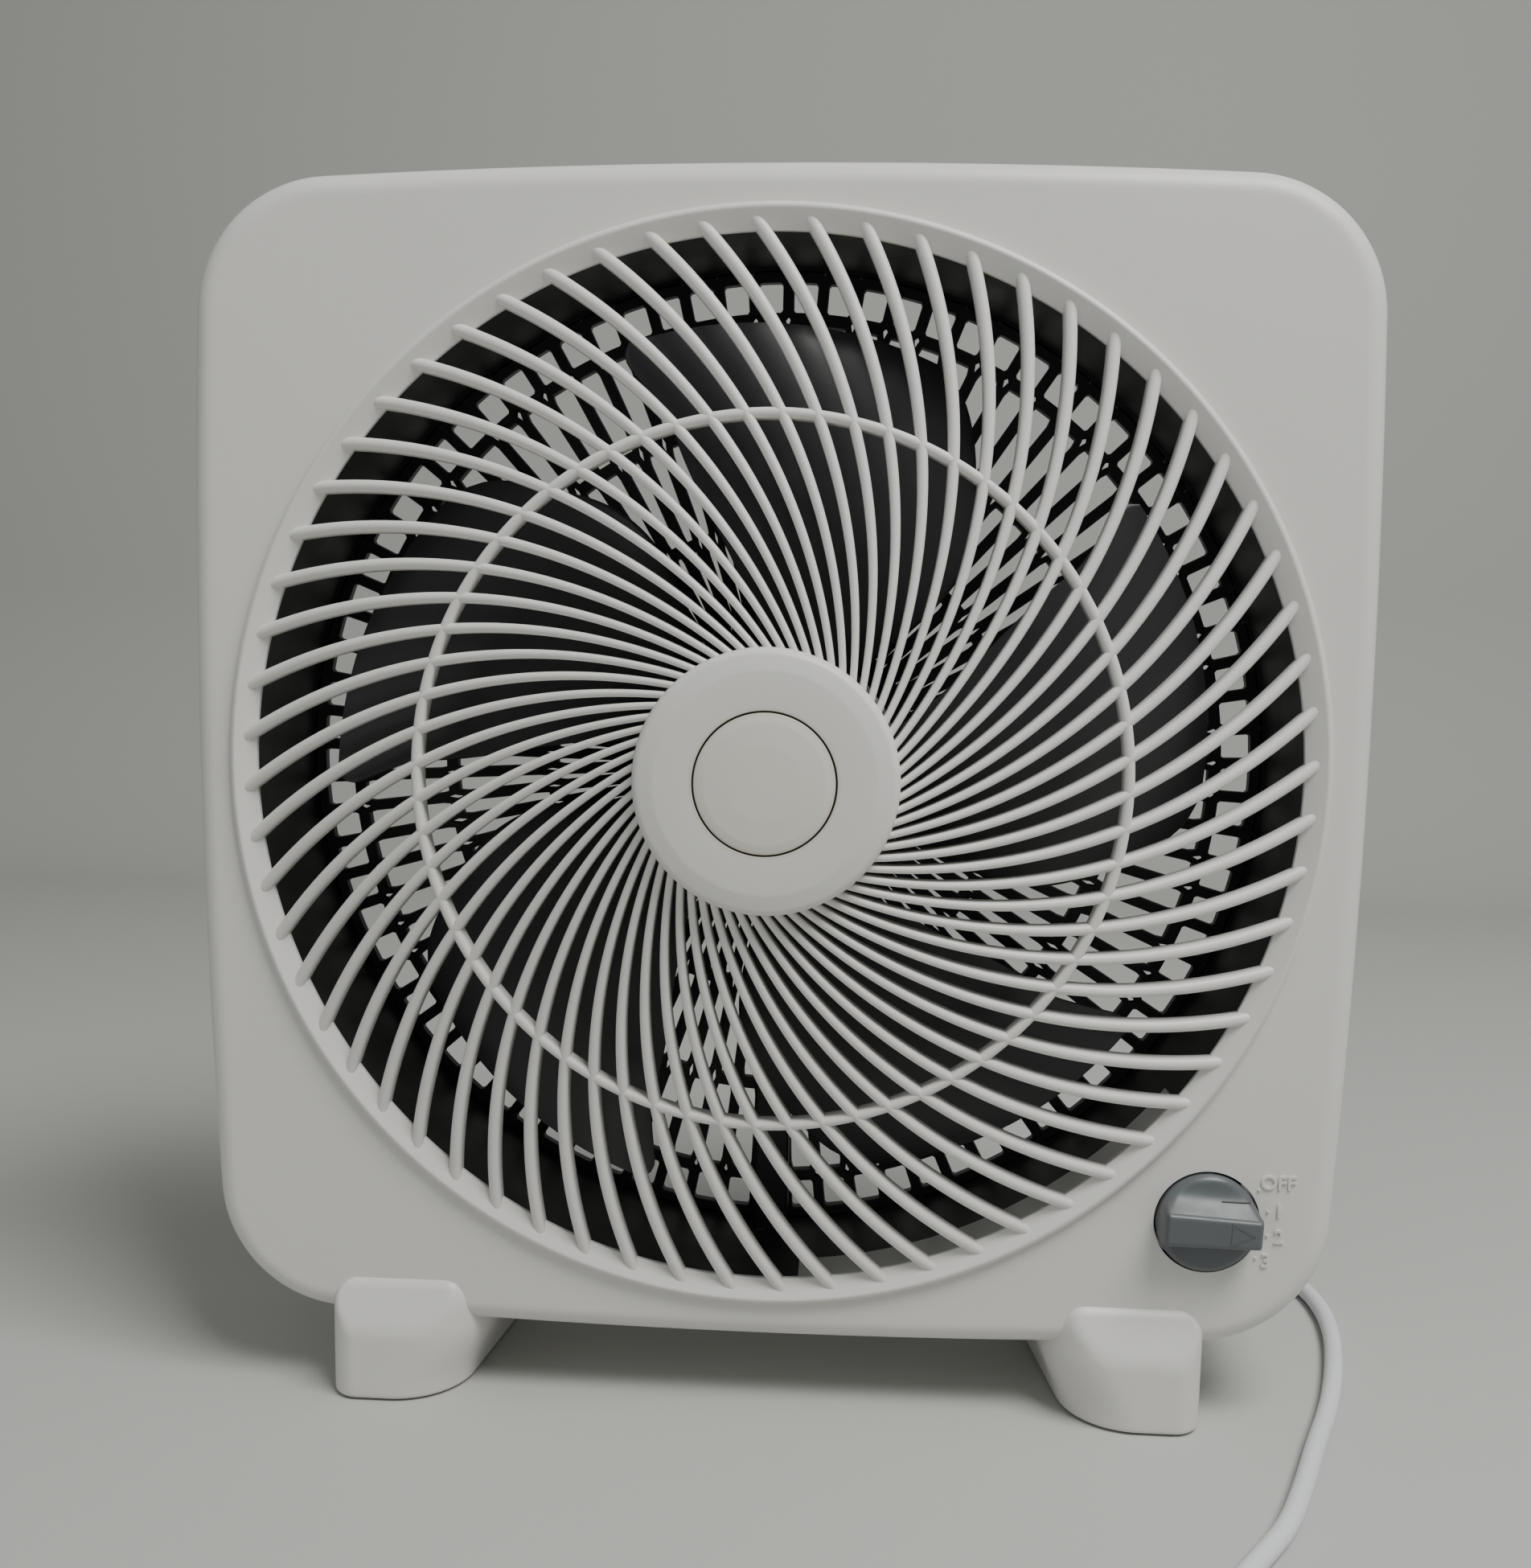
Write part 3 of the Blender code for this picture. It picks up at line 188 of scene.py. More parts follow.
def weldPoints(mesh, near=2e-6):
    # joins points that lie within a distance of each other, and drops faces that this closes up
    work = bmesh.new()
    work.from_mesh(mesh)
    bmesh.ops.remove_doubles(work, verts=work.verts, dist=near)
    bmesh.ops.dissolve_degenerate(work, edges=work.edges, dist=1e-8)
    work.to_mesh(mesh)
    work.free()


def cutAway(piece, cutters):
    # takes closed skins out of a piece, once
    made = []
    for skin in cutters:
        mesh = bpy.data.meshes.new("cutter")
        mesh.from_pydata((skin[0] + place).tolist(), [], skin[1].tolist())
        weldPoints(mesh)
        tool = bpy.data.objects.new("cutter", mesh)
        bpy.context.scene.collection.objects.link(tool)
        step = piece.modifiers.new("cut", "BOOLEAN")
        step.object, step.operation, step.solver = tool, "DIFFERENCE", "EXACT"
        made.append(tool)
    graph = bpy.context.evaluated_depsgraph_get()
    result = bpy.data.meshes.new_from_object(piece.evaluated_get(graph))
    piece.modifiers.clear()
    piece.data = result
    for tool in made:
        bpy.data.objects.remove(tool)


def smoothArea(piece):
    # large flat faces keep their own direction, and the rounds beside them carry the change
    step = piece.modifiers.new("evenShading", "WEIGHTED_NORMAL")
    step.mode, step.weight, step.keep_sharp = "FACE_AREA", 60, True


def blank(name):
    made = bpy.data.materials.new(name)
    made.use_nodes = True
    tree = made.node_tree
    return made, tree, tree.nodes["Principled BSDF"]


def link(tree, a, b):
    tree.links.new(a, b)


def noiseNode(tree, where, scale, detail=3.0, stretch=(1.0, 1.0, 1.0)):
    lay = tree.nodes.new("ShaderNodeMapping")
    lay.inputs["Scale"].default_value = stretch
    link(tree, where, lay.inputs["Vector"])
    node = tree.nodes.new("ShaderNodeTexNoise")
    node.inputs["Scale"].default_value = scale
    node.inputs["Detail"].default_value = detail
    link(tree, lay.outputs["Vector"], node.inputs["Vector"])
    return node.outputs["Fac"]


def spread(tree, value, low, high, fromLow=0.3, fromHigh=0.7):
    node = tree.nodes.new("ShaderNodeMapRange")
    ends = {"From Min": fromLow, "From Max": fromHigh, "To Min": low, "To Max": high}
    for key, number in ends.items():
        node.inputs[key].default_value = number
    link(tree, value, node.inputs["Value"])
    return node.outputs["Result"]


def blendColour(tree, share, first, second):
    node = tree.nodes.new("ShaderNodeMix")
    node.data_type = "RGBA"
    for socket, value in ((6, first), (7, second)):
        if isinstance(value, tuple):
            node.inputs[socket].default_value = (*value, 1.0)
        else:
            link(tree, value, node.inputs[socket])
    link(tree, share, node.inputs[0])
    return node.outputs[2]


def seamShadeAndDirt(tree, where, tone, seam):
    # brown line where the distance from the blade axis equals the seam's radius, fading either side:
    # its dark core is painted shade standing in for the gap between badge and hub, and the brown halo
    # round it is dirt
    flat = tree.nodes.new("ShaderNodeVectorMath")
    flat.operation = "MULTIPLY_ADD"
    flat.inputs[1].default_value = (1.0, 0.0, 1.0)
    flat.inputs[2].default_value = (0.0, 0.0, -axisHeight)
    link(tree, where, flat.inputs[0])
    far = tree.nodes.new("ShaderNodeVectorMath")
    far.operation = "LENGTH"
    link(tree, flat.outputs[0], far.inputs[0])
    off = tree.nodes.new("ShaderNodeMath")
    off.operation = "SUBTRACT"
    off.inputs[1].default_value = seam["radius"]
    link(tree, far.outputs["Value"], off.inputs[0])
    size = tree.nodes.new("ShaderNodeMath")
    size.operation = "ABSOLUTE"
    link(tree, off.outputs[0], size.inputs[0])
    # brown dirt tint that fades out either side of the seam
    halo = spread(tree, size.outputs[0], 0.30, 0.0, seam["wide"], seam["halo"])
    tone = blendColour(tree, halo, tone, (0.42, 0.31, 0.16))
    # painted shade: the dark core stands in for the shadow inside the seam's gap between badge and hub
    core = spread(tree, size.outputs[0], 1.0, 0.0, seam["wide"] * 0.7, seam["wide"] * 1.3)
    return blendColour(tree, core, tone, (0.055, 0.035, 0.02))


def moulded(name, look):
    # satin plastic: slow drifts of tone, fine grain in the skin, a few specks and dull patches
    made, tree, shader = blank(name)
    where = tree.nodes.new("ShaderNodeTexCoord").outputs["Object"]
    colour = np.array(look["colour"])
    pale, deep = tuple(colour * (1 + look["drift"])), tuple(colour * (1 - look["drift"]))
    tone = blendColour(tree, spread(tree, noiseNode(tree, where, look["driftScale"]), 0, 1), deep, pale)
    specks = tree.nodes.new("ShaderNodeTexVoronoi")
    specks.inputs["Scale"].default_value = look["speckScale"]
    link(tree, where, specks.inputs["Vector"])
    near = spread(tree, specks.outputs["Distance"], look["speckShow"], 0.0, 0.03, 0.06)
    patch = spread(tree, noiseNode(tree, where, 23.0), 0.0, 1.0, 0.55, 0.68)
    both = tree.nodes.new("ShaderNodeMath")
    both.operation = "MULTIPLY"
    link(tree, near, both.inputs[0])
    link(tree, patch, both.inputs[1])
    tone = blendColour(tree, both.outputs[0], tone, tuple(colour * look["speckTone"]))
    if "seam" in look:
        # painted shade in the seam's gap round the badge, with brown dirt either side
        tone = seamShadeAndDirt(tree, where, tone, look["seam"])
    link(tree, tone, shader.inputs["Base Color"])
    rough = spread(tree, noiseNode(tree, where, look["roughScale"], 4.0), *look["rough"])
    link(tree, rough, shader.inputs["Roughness"])
    grain = noiseNode(tree, where, look["grainScale"], 2.0)
    wave = noiseNode(tree, where, look["waveScale"], 1.0)
    fine = tree.nodes.new("ShaderNodeBump")
    fine.inputs["Strength"].default_value = look["grain"]
    fine.inputs["Distance"].default_value = 0.00008
    link(tree, grain, fine.inputs["Height"])
    slow = tree.nodes.new("ShaderNodeBump")
    slow.inputs["Strength"].default_value = look["wave"]
    slow.inputs["Distance"].default_value = 0.0006
    link(tree, wave, slow.inputs["Height"])
    link(tree, fine.outputs["Normal"], slow.inputs["Normal"])
    link(tree, slow.outputs["Normal"], shader.inputs["Normal"])
    shader.inputs["Specular IOR Level"].default_value = look["gloss"]
    shader.inputs["Subsurface Weight"].default_value = look.get("glow", 0.0)
    if look.get("glow"):
        shader.inputs["Subsurface Radius"].default_value = (0.0025, 0.0022, 0.0018)
        shader.inputs["Subsurface Scale"].default_value = 1.0
    return made


plasticLooks = {
    "whiteMoulding": {
        "colour": (0.71, 0.70, 0.67), "drift": 0.015, "driftScale": 6.0, "rough": (0.36, 0.47),
        "roughScale": 30.0, "grain": 0.25, "grainScale": 1900.0, "wave": 0.10, "waveScale": 16.0,
        "speckScale": 260.0, "speckShow": 0.45, "speckTone": 0.55, "gloss": 0.42, "glow": 0.0,
    },
    "badgeCream": {
        "colour": (0.70, 0.68, 0.62), "drift": 0.012, "driftScale": 30.0, "rough": (0.30, 0.38),
        "roughScale": 60.0, "grain": 0.12, "grainScale": 2400.0, "wave": 0.06, "waveScale": 60.0,
        "speckScale": 700.0, "speckShow": 0.25, "speckTone": 0.7, "gloss": 0.45,
        "seam": {"radius": 0.02235, "wide": 0.00030, "halo": 0.0016},
    },
    "blackMoulding": {
        "colour": (0.025, 0.025, 0.026), "drift": 0.20, "driftScale": 9.0, "rough": (0.42, 0.60),
        "roughScale": 26.0, "grain": 0.45, "grainScale": 1300.0, "wave": 0.12, "waveScale": 14.0,
        "speckScale": 300.0, "speckShow": 0.35, "speckTone": 6.0, "gloss": 0.35,
    },
    "slateGrey": {
        "colour": (0.104, 0.116, 0.123), "drift": 0.05, "driftScale": 60.0, "rough": (0.30, 0.42),
        "roughScale": 120.0, "grain": 0.30, "grainScale": 2600.0, "wave": 0.10, "waveScale": 90.0,
        "speckScale": 900.0, "speckShow": 0.30, "speckTone": 1.8, "gloss": 0.45,
    },
    "bladeGrey": {
        "colour": (0.045, 0.047, 0.048), "drift": 0.08, "driftScale": 12.0, "rough": (0.28, 0.45),
        "roughScale": 22.0, "grain": 0.15, "grainScale": 1500.0, "wave": 0.10, "waveScale": 20.0,
        "speckScale": 420.0, "speckShow": 0.40, "speckTone": 2.0, "gloss": 0.45,
    },
    "cordWhite": {
        "colour": (0.70, 0.72, 0.74), "drift": 0.02, "driftScale": 20.0, "rough": (0.40, 0.52),
        "roughScale": 90.0, "grain": 0.30, "grainScale": 1600.0, "wave": 0.10, "waveScale": 60.0,
        "speckScale": 420.0, "speckShow": 0.5, "speckTone": 0.5, "gloss": 0.35,
    },
    "footRubber": {
        "colour": (0.030, 0.030, 0.031), "drift": 0.20, "driftScale": 80.0, "rough": (0.75, 0.95),
        "roughScale": 200.0, "grain": 0.6, "grainScale": 1500.0, "wave": 0.2, "waveScale": 120.0,
        "speckScale": 700.0, "speckShow": 0.5, "speckTone": 4.0, "gloss": 0.2,
    },
    "capacitorCase": {
        "colour": (0.07, 0.07, 0.075), "drift": 0.1, "driftScale": 60.0, "rough": (0.4, 0.55),
        "roughScale": 80.0, "grain": 0.3, "grainScale": 1500.0, "wave": 0.1, "waveScale": 90.0,
        "speckScale": 500.0, "speckShow": 0.4, "speckTone": 3.0, "gloss": 0.4,
    },
}


def metal(name, look):
    # bare metal: fine scratches along one way, cloudy roughness and small dents
    made, tree, shader = blank(name)
    where = tree.nodes.new("ShaderNodeTexCoord").outputs["Object"]
    colour = np.array(look["colour"])
    share = spread(tree, noiseNode(tree, where, look["cloud"], 5.0), 0, 1)
    tone = blendColour(tree, share, tuple(colour * 0.82), tuple(colour))
    link(tree, tone, shader.inputs["Base Color"])
    shader.inputs["Metallic"].default_value = 1.0
    rough = spread(tree, noiseNode(tree, where, look["cloud"] * 1.7, 4.0), *look["rough"])
    link(tree, rough, shader.inputs["Roughness"])
    lines = noiseNode(tree, where, look["lines"], 3.0, look["stretch"])
    bump = tree.nodes.new("ShaderNodeBump")
    bump.inputs["Strength"].default_value = look["depth"]
    bump.inputs["Distance"].default_value = 0.0001
    link(tree, lines, bump.inputs["Height"])
    link(tree, bump.outputs["Normal"], shader.inputs["Normal"])
    return made


metalLooks = {
    "brightSteel": {"colour": (0.56, 0.56, 0.57), "rough": (0.25, 0.42), "cloud": 90.0,
                    "lines": 500.0, "stretch": (1, 8, 1), "depth": 0.3},
    "laminatedIron": {"colour": (0.20, 0.20, 0.21), "rough": (0.45, 0.65), "cloud": 60.0,
                      "lines": 120.0, "stretch": (1, 16, 1), "depth": 0.8},
    "zincCasting": {"colour": (0.42, 0.42, 0.43), "rough": (0.45, 0.62), "cloud": 70.0,
                    "lines": 400.0, "stretch": (1, 1, 1), "depth": 0.6},
    "copperWire": {"colour": (0.62, 0.27, 0.13), "rough": (0.28, 0.40), "cloud": 120.0,
                   "lines": 300.0, "stretch": (3, 30, 3), "depth": 1.0},
    "brassPin": {"colour": (0.72, 0.60, 0.30), "rough": (0.22, 0.36), "cloud": 200.0,
                 "lines": 600.0, "stretch": (6, 1, 1), "depth": 0.25},
}

seam = plasticLooks["badgeCream"]["seam"]
# the grille's hub carries the same ring round the badge: painted shade in the gap, with brown dirt
# either side
plasticLooks["grilleMoulding"] = {**plasticLooks["whiteMoulding"], "seam": seam}
makeCamera()
finish = {name: moulded(name, look) for name, look in plasticLooks.items()}
finish.update({name: metal(name, look) for name, look in metalLooks.items()})
print("camera and finishes made")


lead = {
    "diameter": 0.0065,
    "glandAt": (0.1439, -0.17165),
    "glandStart": 0.0703,
    "glandLength": 0.0280,
    "route": (
        (0.1458, 0.1180, 0.0455), (0.1530, 0.1290, 0.0355), (0.1660, 0.1385, 0.0225),
        (0.1820, 0.1400, 0.0110), (0.1980, 0.1345, 0.0050), (0.2110, 0.1220, 0.0034),
        (0.2185, 0.1040, 0.0034), (0.2195, 0.0830, 0.0034), (0.2160, 0.0600, 0.0034),
        (0.2085, 0.0340, 0.0034), (0.1980, 0.0060, 0.0034), (0.1850, -0.0220, 0.0034),
        (0.1735, -0.0475, 0.0034), (0.1621, -0.0700, 0.0034), (0.1501, -0.0869, 0.0035),
        (0.1381, -0.1029, 0.0038), (0.1300, -0.1137, 0.0041),
    ),
    "tail": (
        (0.1030, -0.1868, 0.0104), (0.0995, -0.1945, 0.0101), (0.0930, -0.2008, 0.0099),
        (0.0850, -0.2045, 0.0097), (0.0775, -0.2060, 0.0095), (0.0703, -0.2060, 0.0095),
    ),
    "coilCentre": (0.1475, -0.1600),
    "coilRadius": 0.0380,
    "strands": 5,
    "play": 0.0004,
    "turns": 4.1,
    "startAngle": 143.13,
    "startRoll": -50.0,
    "length": 1.42,
}


def coilPoints(steps=30):
    # turns on a ring: while the angle goes once round, the strand rolls back a fifth of the
    # section's circle, so that each turn lies beside the last one
    circle = (lead["diameter"] + lead["play"]) / (2 * math.sin(math.pi / lead["strands"]))
    middle = circle + lead["diameter"] / 2 + 0.00015
    turn = np.linspace(0, lead["turns"], int(lead["turns"] * steps))
    angle = np.radians(lead["startAngle"]) + 2 * np.pi * turn
    roll = np.radians(lead["startRoll"]) - 2 * np.pi * turn / lead["strands"]
    r = lead["coilRadius"] + circle * np.cos(roll)
    x, y = lead["coilCentre"]
    z = ground + middle + circle * np.sin(roll)
    return np.stack([x + r * np.cos(angle), y + r * np.sin(angle), z], 1)


def smoothed(points, perSpan=6):
    # Catmull-Rom curve: each span is a cubic from the four points round it
    p = np.asarray(points, float)
    p = np.concatenate([[2 * p[0] - p[1]], p, [2 * p[-1] - p[-2]]])
    a, b, c, d = p[:-3, None], p[1:-2, None], p[2:-1, None], p[3:, None]
    t = np.linspace(0, 1, perSpan, endpoint=False)[None, :, None]
    curve = 2 * b + (c - a) * t + (2 * a - 5 * b + 4 * c - d) * t**2
    curve = 0.5 * (curve + (3 * b - a - 3 * c + d) * t**3)
    return np.concatenate([curve.reshape(-1, 3), p[-2][None]])


def liftRoute(route):
    route = np.asarray(route, float)
    return route + np.array([0.0, 0.0, ground])


def makeLead():
    gx, gz = lead["glandAt"]
    exitY = lead["glandStart"] + lead["glandLength"] + 0.0003
    out = np.array([[gx, exitY, gz], [gx, exitY + 0.007, gz]])
    free = np.concatenate([out, liftRoute(lead["route"])])
    coil = coilPoints()
    tail = liftRoute(lead["tail"])
    way = np.concatenate([free, coil, tail])
    line = smoothed(way, 3) + place
    curve = bpy.data.curves.new("mainsLead", "CURVE")
    curve.dimensions = "3D"
    curve.bevel_depth = lead["diameter"] / 2
    curve.bevel_resolution = 4
    curve.use_fill_caps = True
    spline = curve.splines.new("POLY")
    spline.points.add(len(line) - 1)
    spline.points.foreach_set("co", np.concatenate([line, np.ones((len(line), 1))], 1).ravel())
    spline.use_smooth = True
    piece = bpy.data.objects.new("mainsLead", curve)
    bpy.context.scene.collection.objects.link(piece)
    curve.materials.append(finish["cordWhite"])
    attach(piece, "housing")
    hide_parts("power_cord", "cord_coil", "cord_tail")
    long = float(np.linalg.norm(np.diff(line, axis=0), axis=1).sum())
    print("lead is", round(long, 3), "m long")
    return piece, line[0]


def makeRelief():
    # tapered sleeve with ribs: the outside radius falls from collar to tip and steps in at each groove
    gx, gz = lead["glandAt"]
    y0, long = lead["glandStart"], lead["glandLength"]
    corners = [(0.0, y0 - 0.0040, 0), (0.0045, y0 - 0.0040, 0.0003), (0.0045, y0, 0)]
    corners += [(0.0070, y0, 0.0004), (0.0070, y0 + 0.0025, 0.0006), (0.0057, y0 + 0.0029, 0.0002)]
    for n in range(6):
        t = y0 + 0.0042 + n * 0.0036
        r = 0.0057 - 0.00022 * n
        corners += [(r, t, 0.0003), (r - 0.0010, t + 0.0002, 0.0002), (r - 0.0010, t + 0.0012, 0.0002)]
        corners += [(r - 0.0002, t + 0.0014, 0.0003)]
    corners += [(0.0042, y0 + long, 0.0004), (0.0, y0 + long, 0)]
    skin = turned(rounded(corners, 3), 40, centre=(gx, 0.0, gz))
    return makePiece("strainRelief", [skin], finish["cordWhite"], "housing", ["strain_relief"])


def makeTie():
    # flat strap round the coil's section, with a small lock block on the outside
    circle = (lead["diameter"] + lead["play"]) / (2 * math.sin(math.pi / lead["strands"]))
    half = circle + lead["diameter"] / 2 + 0.0002
    cx, cy = lead["coilCentre"]
    midZ = ground + half + 0.0001
    a = np.linspace(0, 2 * np.pi, 49)[:-1]
    rings = []
    for y, r in ((-0.0024, 0.0), (-0.0027, 0.0003), (-0.0027, 0.0007), (-0.0022, 0.0010),
                 (0.0022, 0.0010), (0.0027, 0.0007), (0.0027, 0.0003), (0.0024, 0.0)):
        grown = half + r
        x = cx + lead["coilRadius"] + grown * np.cos(a)
        z = np.maximum(midZ + grown * np.sin(a), ground + 0.00005 + r * 0.02)
        rings.append(np.stack([x, np.full_like(x, cy + y), z], 1))
    strap = band(rings)
    box = rounded([(-0.0030, -0.0022, 0.0006), (0.0030, -0.0022, 0.0006), (0.0030, 0.0022, 0.0006),
                   (-0.0030, 0.0022, 0.0006)], 3)
    x0 = cx + lead["coilRadius"]
    zs = midZ + half - 0.0005
    lock = loft([np.stack([x0 + box[:, 1] * s, cy + box[:, 0] * s, np.full(len(box), z)], 1)
                 for z, s in ((zs, 0.9), (zs + 0.0003, 1.0), (zs + 0.0013, 1.0), (zs + 0.0016, 0.9))])
    return makePiece("cordTie", [strap, lock], finish["blackMoulding"], "housing", ["cord_tie"])


def makePlug():
    # body: rounded sections that grow from the lead to the face, ribbed behind the grip
    rearX, y = lead["tail"][-1][0] - 0.0003, lead["tail"][-1][1]
    z = ground + lead["tail"][-1][2]
    t = np.array([0, 0.6, 2.0, 2.6, 3.0, 4.4, 5.0, 5.4, 6.8, 7.4, 7.8, 10.0,
                  13.0, 16.0, 20.0, 26.0, 32.5, 33.7, 34.0]) * 1e-3
    wide = np.array([3.6, 4.0, 4.2, 4.2, 5.0, 5.2, 5.2, 6.0, 6.2, 6.2, 7.0, 8.2, 10.4, 12.2, 13.2, 13.4,
                     13.4, 13.1, 12.6]) * 1e-3
    high = np.array([3.6, 4.0, 4.2, 4.2, 4.7, 4.9, 4.9, 5.4, 5.6, 5.6, 6.1, 6.7, 7.6, 8.1, 8.4, 8.4,
                     8.4, 8.1, 7.6]) * 1e-3
    a = np.linspace(0, 2 * np.pi, 65)[:-1]
    power = 2 / np.interp(t, [0, 0.01, 0.034], [2.0, 2.4, 3.6])[:, None]
    c, s = np.cos(a)[None], np.sin(a)[None]
    across = wide[:, None] * np.sign(c) * np.abs(c) ** power
    up = high[:, None] * np.sign(s) * np.abs(s) ** power
    rings = np.stack([np.broadcast_to((rearX - t)[:, None], across.shape), y + across, z + up], -1)
    body = makePiece("plugBody", [loft(rings)], finish["cordWhite"], "housing", ["plug_body"])
    faceX = rearX - 0.0340 - 0.0003
    pins = []
    for name, way in (("left", -1), ("right", 1)):
        profile = rounded([(0, faceX, 0), (0.0020, faceX, 0), (0.0020, faceX - 0.019, 0.0010),
                           (0, faceX - 0.019, 0)], 5)
        skin = turned(profile, 28, "x", (0, y + way * 0.0095, z))
        pins.append(makePiece(f"plugPin_{name}", [skin], finish["brassPin"], "housing",
                              [f"plug_pin_{name}"]))
    return [body, *pins]


cord, exitPoint = makeLead()
relief, tie, plugPieces = makeRelief(), makeTie(), makePlug()
print("lead made")


def casingArcs():
    # centres and radii of the bowed walls, and the corner arc that touches both from inside
    halfW, halfH = casing["width"] / 2, casing["height"] / 2
    sideR, topR = halfH**2 / (2 * casing["sideBow"]), halfW**2 / (2 * casing["topBow"])
    sideC, topC = np.array([halfW - sideR, 0.0]), np.array([0.0, halfH - topR])
    a, b = sideR - casing["corner"], topR - casing["corner"]
    apart = topC - sideC
    far = np.linalg.norm(apart)
    along = (a * a - b * b + far * far) / (2 * far)
    across = math.sqrt(a * a - along * along)
    unit = apart / far
    options = [sideC + unit * along + np.array([-unit[1], unit[0]]) * s * across for s in (1, -1)]
    return max(options, key=lambda p: p.sum()), sideC, sideR, topC, topR


def outline(inset, side=16, corner=22):
    # one quarter from the right middle to the top middle, mirrored to all four
    centre, sideC, sideR, topC, topR = casingArcs()
    low = math.atan2(*(centre - sideC)[::-1])
    high = math.atan2(*(centre - topC)[::-1])

    def arc(c, r, start, end, steps):
        a = np.linspace(start, end, steps + 1)
        return np.stack([c[0] + r * np.cos(a), c[1] + r * np.sin(a)], 1)

    quarter = np.concatenate([
        arc(sideC, sideR - inset, 0.0, low, side)[:-1],
        arc(centre, casing["corner"] - inset, low, high, corner)[:-1],
        arc(topC, topR - inset, high, math.pi / 2, side)[:-1],
    ])
    half = np.concatenate([quarter, [[0.0, casing["height"] / 2 - inset]], quarter[:0:-1] * (-1, 1)])
    return np.concatenate([half, half * (-1, -1)])


def ringAt(inset, y):
    flat = outline(inset)
    return np.stack([flat[:, 0], np.full(len(flat), y), flat[:, 1]], 1)


def circleAt(radius, y):
    flat = outline(casing["edgeRound"])
    a = np.arctan2(flat[:, 1], flat[:, 0])
    return np.stack([radius * np.cos(a), np.full(len(a), y), radius * np.sin(a)], 1)


knob = {
    "at": (joints["speed_knob_turn"]["pos_m"][0], joints["speed_knob_turn"]["pos_m"][2] - axisHeight),
    "base": 0.0169,
    "recess": 0.0176,
    "restAngle": -2.0,
    "gripFrom": -0.0164,
    "gripTo": 0.0162,
    "gripEnd": 0.0020,
    "gripWide": 0.0114,
    "gripTop": 0.0108,
    "gripRound": 0.0017,
    "flare": 0.0085,
    "flarePower": 2.6,
}


def makeCasing():
    # the outline is drawn in by a quarter circle at the front edge, runs in flat to the round
    # opening, and comes back inside one wall thickness deeper
    e, w, d = casing["edgeRound"], casing["wall"], casing["depth"]
    rings = [ringAt(w, d - 0.0003), ringAt(w - 0.0003, d), ringAt(0.0003, d), ringAt(0.0, d - 0.0003)]
    rings += [ringAt(0.0, y) for y in (0.040, 0.020, 0.004, 0.001)]
    for a in np.radians(np.linspace(0, 90, 11)):
        rings.append(ringAt(e * (1 - math.cos(a)), faceY * math.sin(a)))
    r = casing["opening"]
    rings += [ringAt(e + 0.0012, faceY), circleAt(0.1835, faceY), circleAt(r + 0.0010, faceY)]
    rings += [circleAt(r + 0.0002, faceY + 0.0003), circleAt(r, faceY + 0.0010)]
    rings += [circleAt(r, faceY + w), circleAt(r + 0.004, faceY + w), ringAt(e + 0.001, faceY + w)]
    for a in np.radians(np.linspace(75, 0, 5)):
        rings.append(ringAt(w + (e - w) * (1 - math.cos(a)), (faceY + w) * math.sin(a)))
    piece = makePiece("frontShell", [band(rings)], finish["whiteMoulding"], "housing",
                      ["front_shell"], sharp=40)
    kx, kz = knob["at"]
    drill = turned([(0, -0.02), (knob["recess"], -0.02), (knob["recess"], -0.001), (0, -0.001)], 96,
                   centre=(kx, 0, kz))
    cutAway(piece, [drill])
    smoothArea(piece)
    return piece


def makeBay():
    # arc wall of the switch bay behind the lower right of the grille, and the knob's well
    a = np.radians(np.linspace(-86, -38, 61))
    r0, r1 = casing["opening"] + 0.0001, casing["opening"] + 0.0020
    depth = 0.018
    section = rounded([(r0, faceY + 0.0026, 0), (r1, faceY + 0.0026, 0), (r1, depth, 0.0004),
                       (r0, depth, 0.0004)], 3)
    rings = np.stack([section[None, :, 0] * np.cos(a)[:, None],
                      np.broadcast_to(section[None, :, 1], (len(a), len(section))),
                      section[None, :, 0] * np.sin(a)[:, None]], -1)
    kx, kz = knob["at"]
    well = rounded([(knob["recess"], faceY + 0.0020, 0), (knob["recess"] + 0.0018, faceY + 0.0020, 0),
                    (knob["recess"] + 0.0018, -0.0032, 0.0002), (knob["recess"], -0.0032, 0.0002)], 2)
    skins = [loft(rings), turned(well, 96, centre=(kx, 0, kz))]
    return makePiece("switchBayWall", skins, finish["whiteMoulding"], "housing")


foot = {
    "outerX": 0.1502,
    "innerFrontX": 0.1065,
    "innerRearX": 0.0953,
    "frontY": -footLead,
    "rearY": 0.0770,
    "soleZ": -0.21945,
    "outerRound": 0.0100,
    "innerRound": 0.0250,
    "rearRound": 0.0080,
    "soleRound": 0.0016,
    "flareFront": 0.0085,
    "flareRear": 0.0020,
    "innerRoundTop": 0.0240,
    "creaseZ": -0.1948,
    "topZ": -0.1782,
    "slope": 0.417,
    "topRound": 0.0100,
    "blend": 0.0014,
    "coverZ": -0.1913,
}


